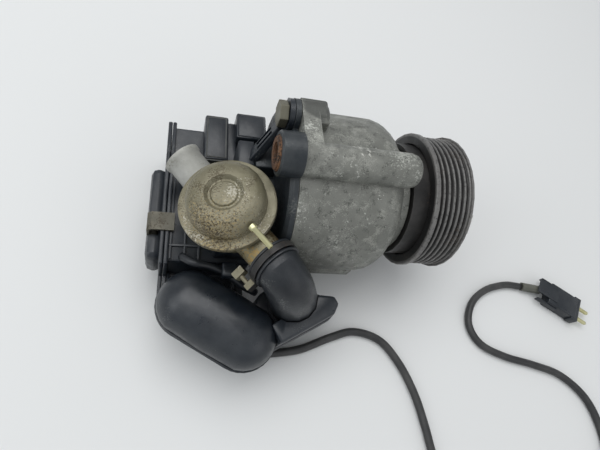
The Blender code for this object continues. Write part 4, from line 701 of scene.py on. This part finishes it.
def smooth_copy(node):
    """A copy of a node's mesh, with its triangles joined, its flat faces whole and its edges rounded."""
    mesh = NODES[node].data.copy()
    obj = bpy.data.objects.new(node + "_fine", mesh)
    bpy.context.scene.collection.objects.link(obj)
    bm = bmesh.new()
    bm.from_mesh(mesh)
    bmesh.ops.remove_doubles(bm, verts=bm.verts, dist=TRIANGLE_MERGE)
    bmesh.ops.dissolve_limit(bm, angle_limit=FLAT, verts=bm.verts, edges=bm.edges)
    for edge in bm.edges:
        edge.smooth = True
    for face in bm.faces:
        face.smooth = True
    bm.to_mesh(mesh)
    bm.free()
    mesh.set_sharp_from_angle(angle=SHARP)
    width = ROUNDING.get(node)
    if width:
        bevel = obj.modifiers.new("rounded_edges", "BEVEL")
        bevel.width = width * MM
        bevel.segments = 2
        bevel.limit_method = "ANGLE"
        bevel.angle_limit = SHARP
        bevel.use_clamp_overlap = True
        bevel.harden_normals = True
    paint(obj, OWN_FINISH.get(node, FINISHES[SLOT_OF[node]]))
    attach(obj, BODY_OF[node])
    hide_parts(node)
    fine_of[node] = obj


for node in sorted(NODES):
    if node in HIDDEN_INSIDE:
        paint(NODES[node], FINISHES[SLOT_OF[node]])
    else:
        smooth_copy(node)


CLAMP_BAND_R = 15.4 * MM  # the clamp's ears reach further out than this


def darken_clamp_band():
    """The clamp's band is dirty and dark, and its two ears keep their plating."""
    clamp = fine_of["hose_clamp"]
    clamp.data.materials.append(FINISHES["dark_steel"])
    for face in clamp.data.polygons:
        out = Vector(face.center) - ELBOW_START
        away = (out - ELBOW_AHEAD * out.dot(ELBOW_AHEAD)).length
        face.material_index = int(away < CLAMP_BAND_R)


darken_clamp_band()

# ---------------------------------------------------------------- added detail
PANEL_STEP = 0.6  # how far a panel sinks or stands up, for each millimetre of its border
SEAM_LENGTH, SEAM_WIDTH, SEAM_LIP = 75.4, 40.0, 2.2
SEAM_FOOT, SEAM_THICKNESS = -4.6, 1.5
HALF_END_STEPS = 16


def begin(adder, **settings):
    """Adds a primitive with nothing else selected, and goes into edit mode with none of it selected."""
    bpy.ops.object.select_all(action="DESELECT")
    adder(**settings)
    obj = bpy.context.active_object
    bpy.ops.object.mode_set(mode="EDIT")
    bpy.ops.mesh.select_mode(type="FACE")
    bpy.ops.mesh.select_all(action="DESELECT")
    return obj


def select_faces(obj, wanted):
    """Selects the faces that a test of their normal picks, in the primitive's own axes."""
    bm = bmesh.from_edit_mesh(obj.data)
    for face in bm.faces:
        face.select_set(wanted(face.normal))
    bmesh.update_edit_mesh(obj.data)


def top(normal):
    return normal.z > FACES_AXIS


def top_and_bottom(normal):
    return abs(normal.z) > FACES_AXIS


def add_to_pump(obj, slot, material=None):
    """Paints a finished piece and makes it ride on the pump's body."""
    paint(obj, material or FINISHES[slot])
    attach(obj, "pump")


def end(obj, name, turn, slot, rounding, material=None):
    """Rounds the edges, puts the piece's place into its mesh, and adds it to the pump."""
    bpy.ops.object.mode_set(mode="OBJECT")
    obj.name = name
    bevel = obj.modifiers.new("rounded_edges", "BEVEL")
    bevel.width = rounding * MM
    bevel.segments = 2
    bevel.limit_method = "ANGLE"
    bevel.angle_limit = SHARP
    bpy.ops.object.modifier_apply(modifier=bevel.name)
    obj.data.transform(turn @ obj.matrix_basis)
    obj.matrix_basis = Matrix.Identity(4)
    bm = bmesh.new()
    bm.from_mesh(obj.data)
    bmesh.ops.remove_doubles(bm, verts=bm.verts, dist=PIECE_MERGE)
    bmesh.ops.recalc_face_normals(bm, faces=bm.faces)
    for face in bm.faces:
        face.smooth = True
    bm.to_mesh(obj.data)
    bm.free()
    obj.data.set_sharp_from_angle(angle=SHARP)
    add_to_pump(obj, slot, material)


def plastic_bar(name, low, high, rounding=0.3, panel=0.0, turn=UPRIGHT, material=None):
    """A moulded bar between two corners. A positive panel border raises the panel, and a negative one sinks it."""
    size = [(b - a) * MM for a, b in zip(low, high)]
    middle = [(a + b) / 2 * MM for a, b in zip(low, high)]
    obj = begin(bpy.ops.mesh.primitive_cube_add, size=1.0, location=(0, 0, 0))
    bpy.ops.mesh.select_all(action="SELECT")
    bpy.ops.transform.resize(value=size)
    bpy.ops.transform.translate(value=middle)
    bpy.ops.mesh.select_all(action="DESELECT")
    if panel:
        select_faces(obj, top)
        bpy.ops.mesh.inset(thickness=abs(panel) * MM)
        bpy.ops.transform.translate(value=(0, 0, panel * PANEL_STEP * MM))
    end(obj, name, turn, "black_plastic", rounding, material)


def hoop(name, inner, outer, low, high, turn, slot, rounding, sides=48):
    """A turned ring about the local Z axis."""
    obj = begin(
        bpy.ops.mesh.primitive_cylinder_add,
        vertices=sides,
        radius=outer * MM,
        depth=(high - low) * MM,
        location=(0, 0, (low + high) / 2 * MM),
    )
    select_faces(obj, top_and_bottom)
    bpy.ops.mesh.inset(thickness=(outer - inner) * MM)
    bpy.ops.mesh.bridge_edge_loops()
    end(obj, name, turn, slot, rounding)


def pill_outline(length, width):
    """Points round a pill outline, in its own plane."""
    radius, half = width / 2, (length - width) / 2
    points = []
    for side, start in ((1, -math.pi / 2), (-1, math.pi / 2)):
        for i in range(HALF_END_STEPS + 1):
            angle = start + math.pi * i / HALF_END_STEPS
            points.append((side * half + radius * math.cos(angle), radius * math.sin(angle)))
    return points


def silencer_seam():
    """The welded lip where the silencer's two shells meet."""
    outline = pill_outline(SEAM_LENGTH, SEAM_WIDTH)
    obj = begin(bpy.ops.mesh.primitive_circle_add, vertices=len(outline), radius=1.0, fill_type="NGON")
    bm = bmesh.from_edit_mesh(obj.data)
    for vert, (x, y) in zip(bm.verts, outline):
        vert.co = (x * MM, y * MM, SEAM_FOOT * MM)
    bmesh.update_edit_mesh(obj.data)
    bpy.ops.mesh.select_all(action="SELECT")
    bpy.ops.mesh.extrude_region_move(TRANSFORM_OT_translate={"value": (0, 0, SEAM_THICKNESS * MM)})
    select_faces(obj, top_and_bottom)
    bpy.ops.mesh.inset(thickness=SEAM_LIP * MM)
    bpy.ops.mesh.bridge_edge_loops()
    end(obj, "silencer_seam_lip", SILENCER_TURN, "black_plastic", 0.35)


HOSE_ROUTE = (
    (-92.0, -44.0, 48.0),
    (-85.0, -49.0, 52.0),
    (-76.0, -50.0, 50.5),
    (-66.0, -53.0, 47.0),
    (-56.0, -58.5, 42.0),
    (-47.0, -61.0, 36.0),
)
HOSE_D = 4.6
HOSE_STEP = 2.0

silencer_seam()
hoop("elbow_mouth_bead", 12.6, 14.1, -0.4, 1.1, ELBOW_TURN, "rubber", 0.35)
hoop("elbow_second_bead", 12.6, 14.2, 6.1, 7.4, ELBOW_TURN, "rubber", 0.4)
hoop("valve_rolled_edge", 24.6, 26.15, -1.9, 1.9, VALVE_TURN, "olive_zinc", 0.6, sides=64)
for number, x in enumerate((-98.0, -90.0, -82.0), 1):
    plastic_bar(f"roof_rib_{number}", (x - 0.7, -45.0, 43.6), (x + 0.7, 14.0, 45.4))
plastic_bar("roof_cross_rib", (-100.0, -37.2, 43.6), (-54.0, -35.8, 45.6))
plastic_bar("shelf_rib_1", (-99.0, -60.0, 19.6), (-97.4, -46.4, 24.0), 0.4)
plastic_bar("shelf_rib_2", (-60.0, -64.0, 19.6), (-58.4, -46.4, 26.0), 0.4)
plastic_bar("tall_block_panel", (-81.0, 17.2, 57.6), (-68.6, 46.8, 58.5), panel=-1.4, material=DUSTY)
plastic_bar("tall_block_front", (-81.2, 15.2, 44.2), (-68.4, 16.2, 57.2), material=DUSTY)
plastic_bar("end_block_panel", (-62.2, 32.0, 61.6), (-44.8, 48.6, 62.5), panel=-1.2)
valve_hose, _ = cable("valve_hose", HOSE_ROUTE, HOSE_D, HOSE_STEP)
add_to_pump(valve_hose, "rubber")
plastic_bar("hose_block", (-69.0, -56.0, 43.0), (-60.0, -48.0, 52.0), 0.8, panel=1.0)
plastic_bar("plug_panel", (-11.5, -6.2, 4.6), (8.0, 6.2, 5.7), 0.4, panel=-1.0, turn=PLUG_TURN)
plastic_bar("plug_rail_left", (-8.0, -10.1, -2.0), (10.5, -9.0, 2.2), turn=PLUG_TURN)
plastic_bar("plug_rail_right", (-8.0, 9.0, -2.0), (10.5, 10.1, 2.2), turn=PLUG_TURN)
hoop("bush_face_rim", 5.6, 8.6, 0.0, 1.0, BUSH_TURN, "rusty_steel", 0.25)

# ---------------------------------------------------------------- floor, light and tone
FLOOR_HALF = 3.0
FLOOR_COLOUR = (0.73, 0.74, 0.735, 1.0)
SKY_COLOUR, SKY_STRENGTH = (0.95, 0.97, 1.0, 1.0), 0.5


def make_stage():
    data = bpy.data.meshes.new("floor")
    bm = bmesh.new()
    bmesh.ops.create_grid(bm, x_segments=1, y_segments=1, size=FLOOR_HALF)
    bm.to_mesh(data)
    bm.free()
    floor = bpy.data.objects.new("floor", data)
    bpy.context.scene.collection.objects.link(floor)
    pale = bpy.data.materials.new("pale_floor")
    pale.use_nodes = True
    shader = pale.node_tree.nodes["Principled BSDF"]
    shader.inputs["Base Color"].default_value = FLOOR_COLOUR
    shader.inputs["Roughness"].default_value = 0.85
    paint(floor, pale)


def soft_light(name, place, target, size, energy, colour=(1.0, 1.0, 1.0)):
    data = bpy.data.lights.new(name, "AREA")
    data.shape = "RECTANGLE"
    data.size, data.size_y = size
    data.energy = energy
    data.color = colour
    light = bpy.data.objects.new(name, data)
    bpy.context.scene.collection.objects.link(light)
    light.location = place
    light.rotation_mode = "QUATERNION"
    light.rotation_quaternion = (Vector(target) - Vector(place)).to_track_quat("-Z", "Y")


make_stage()
soft_light("ceiling_panel", (-0.25, 0.35, 1.25), (0.0, 0.0, 0.0), (1.3, 0.9), 9.5)
soft_light("window", (-1.2, -0.2, 0.9), (0.0, 0.0, 0.05), (0.9, 0.9), 4.5, (0.95, 0.98, 1.0))
soft_light("fill", (0.9, -0.9, 0.8), (0.0, 0.0, 0.05), (1.0, 1.0), 1.8)
world = bpy.data.worlds.new("studio")
bpy.context.scene.world = world
world.use_nodes = True
sky = world.node_tree.nodes["Background"].inputs
sky["Color"].default_value = SKY_COLOUR
sky["Strength"].default_value = SKY_STRENGTH
bpy.context.scene.view_settings.view_transform = "Standard"
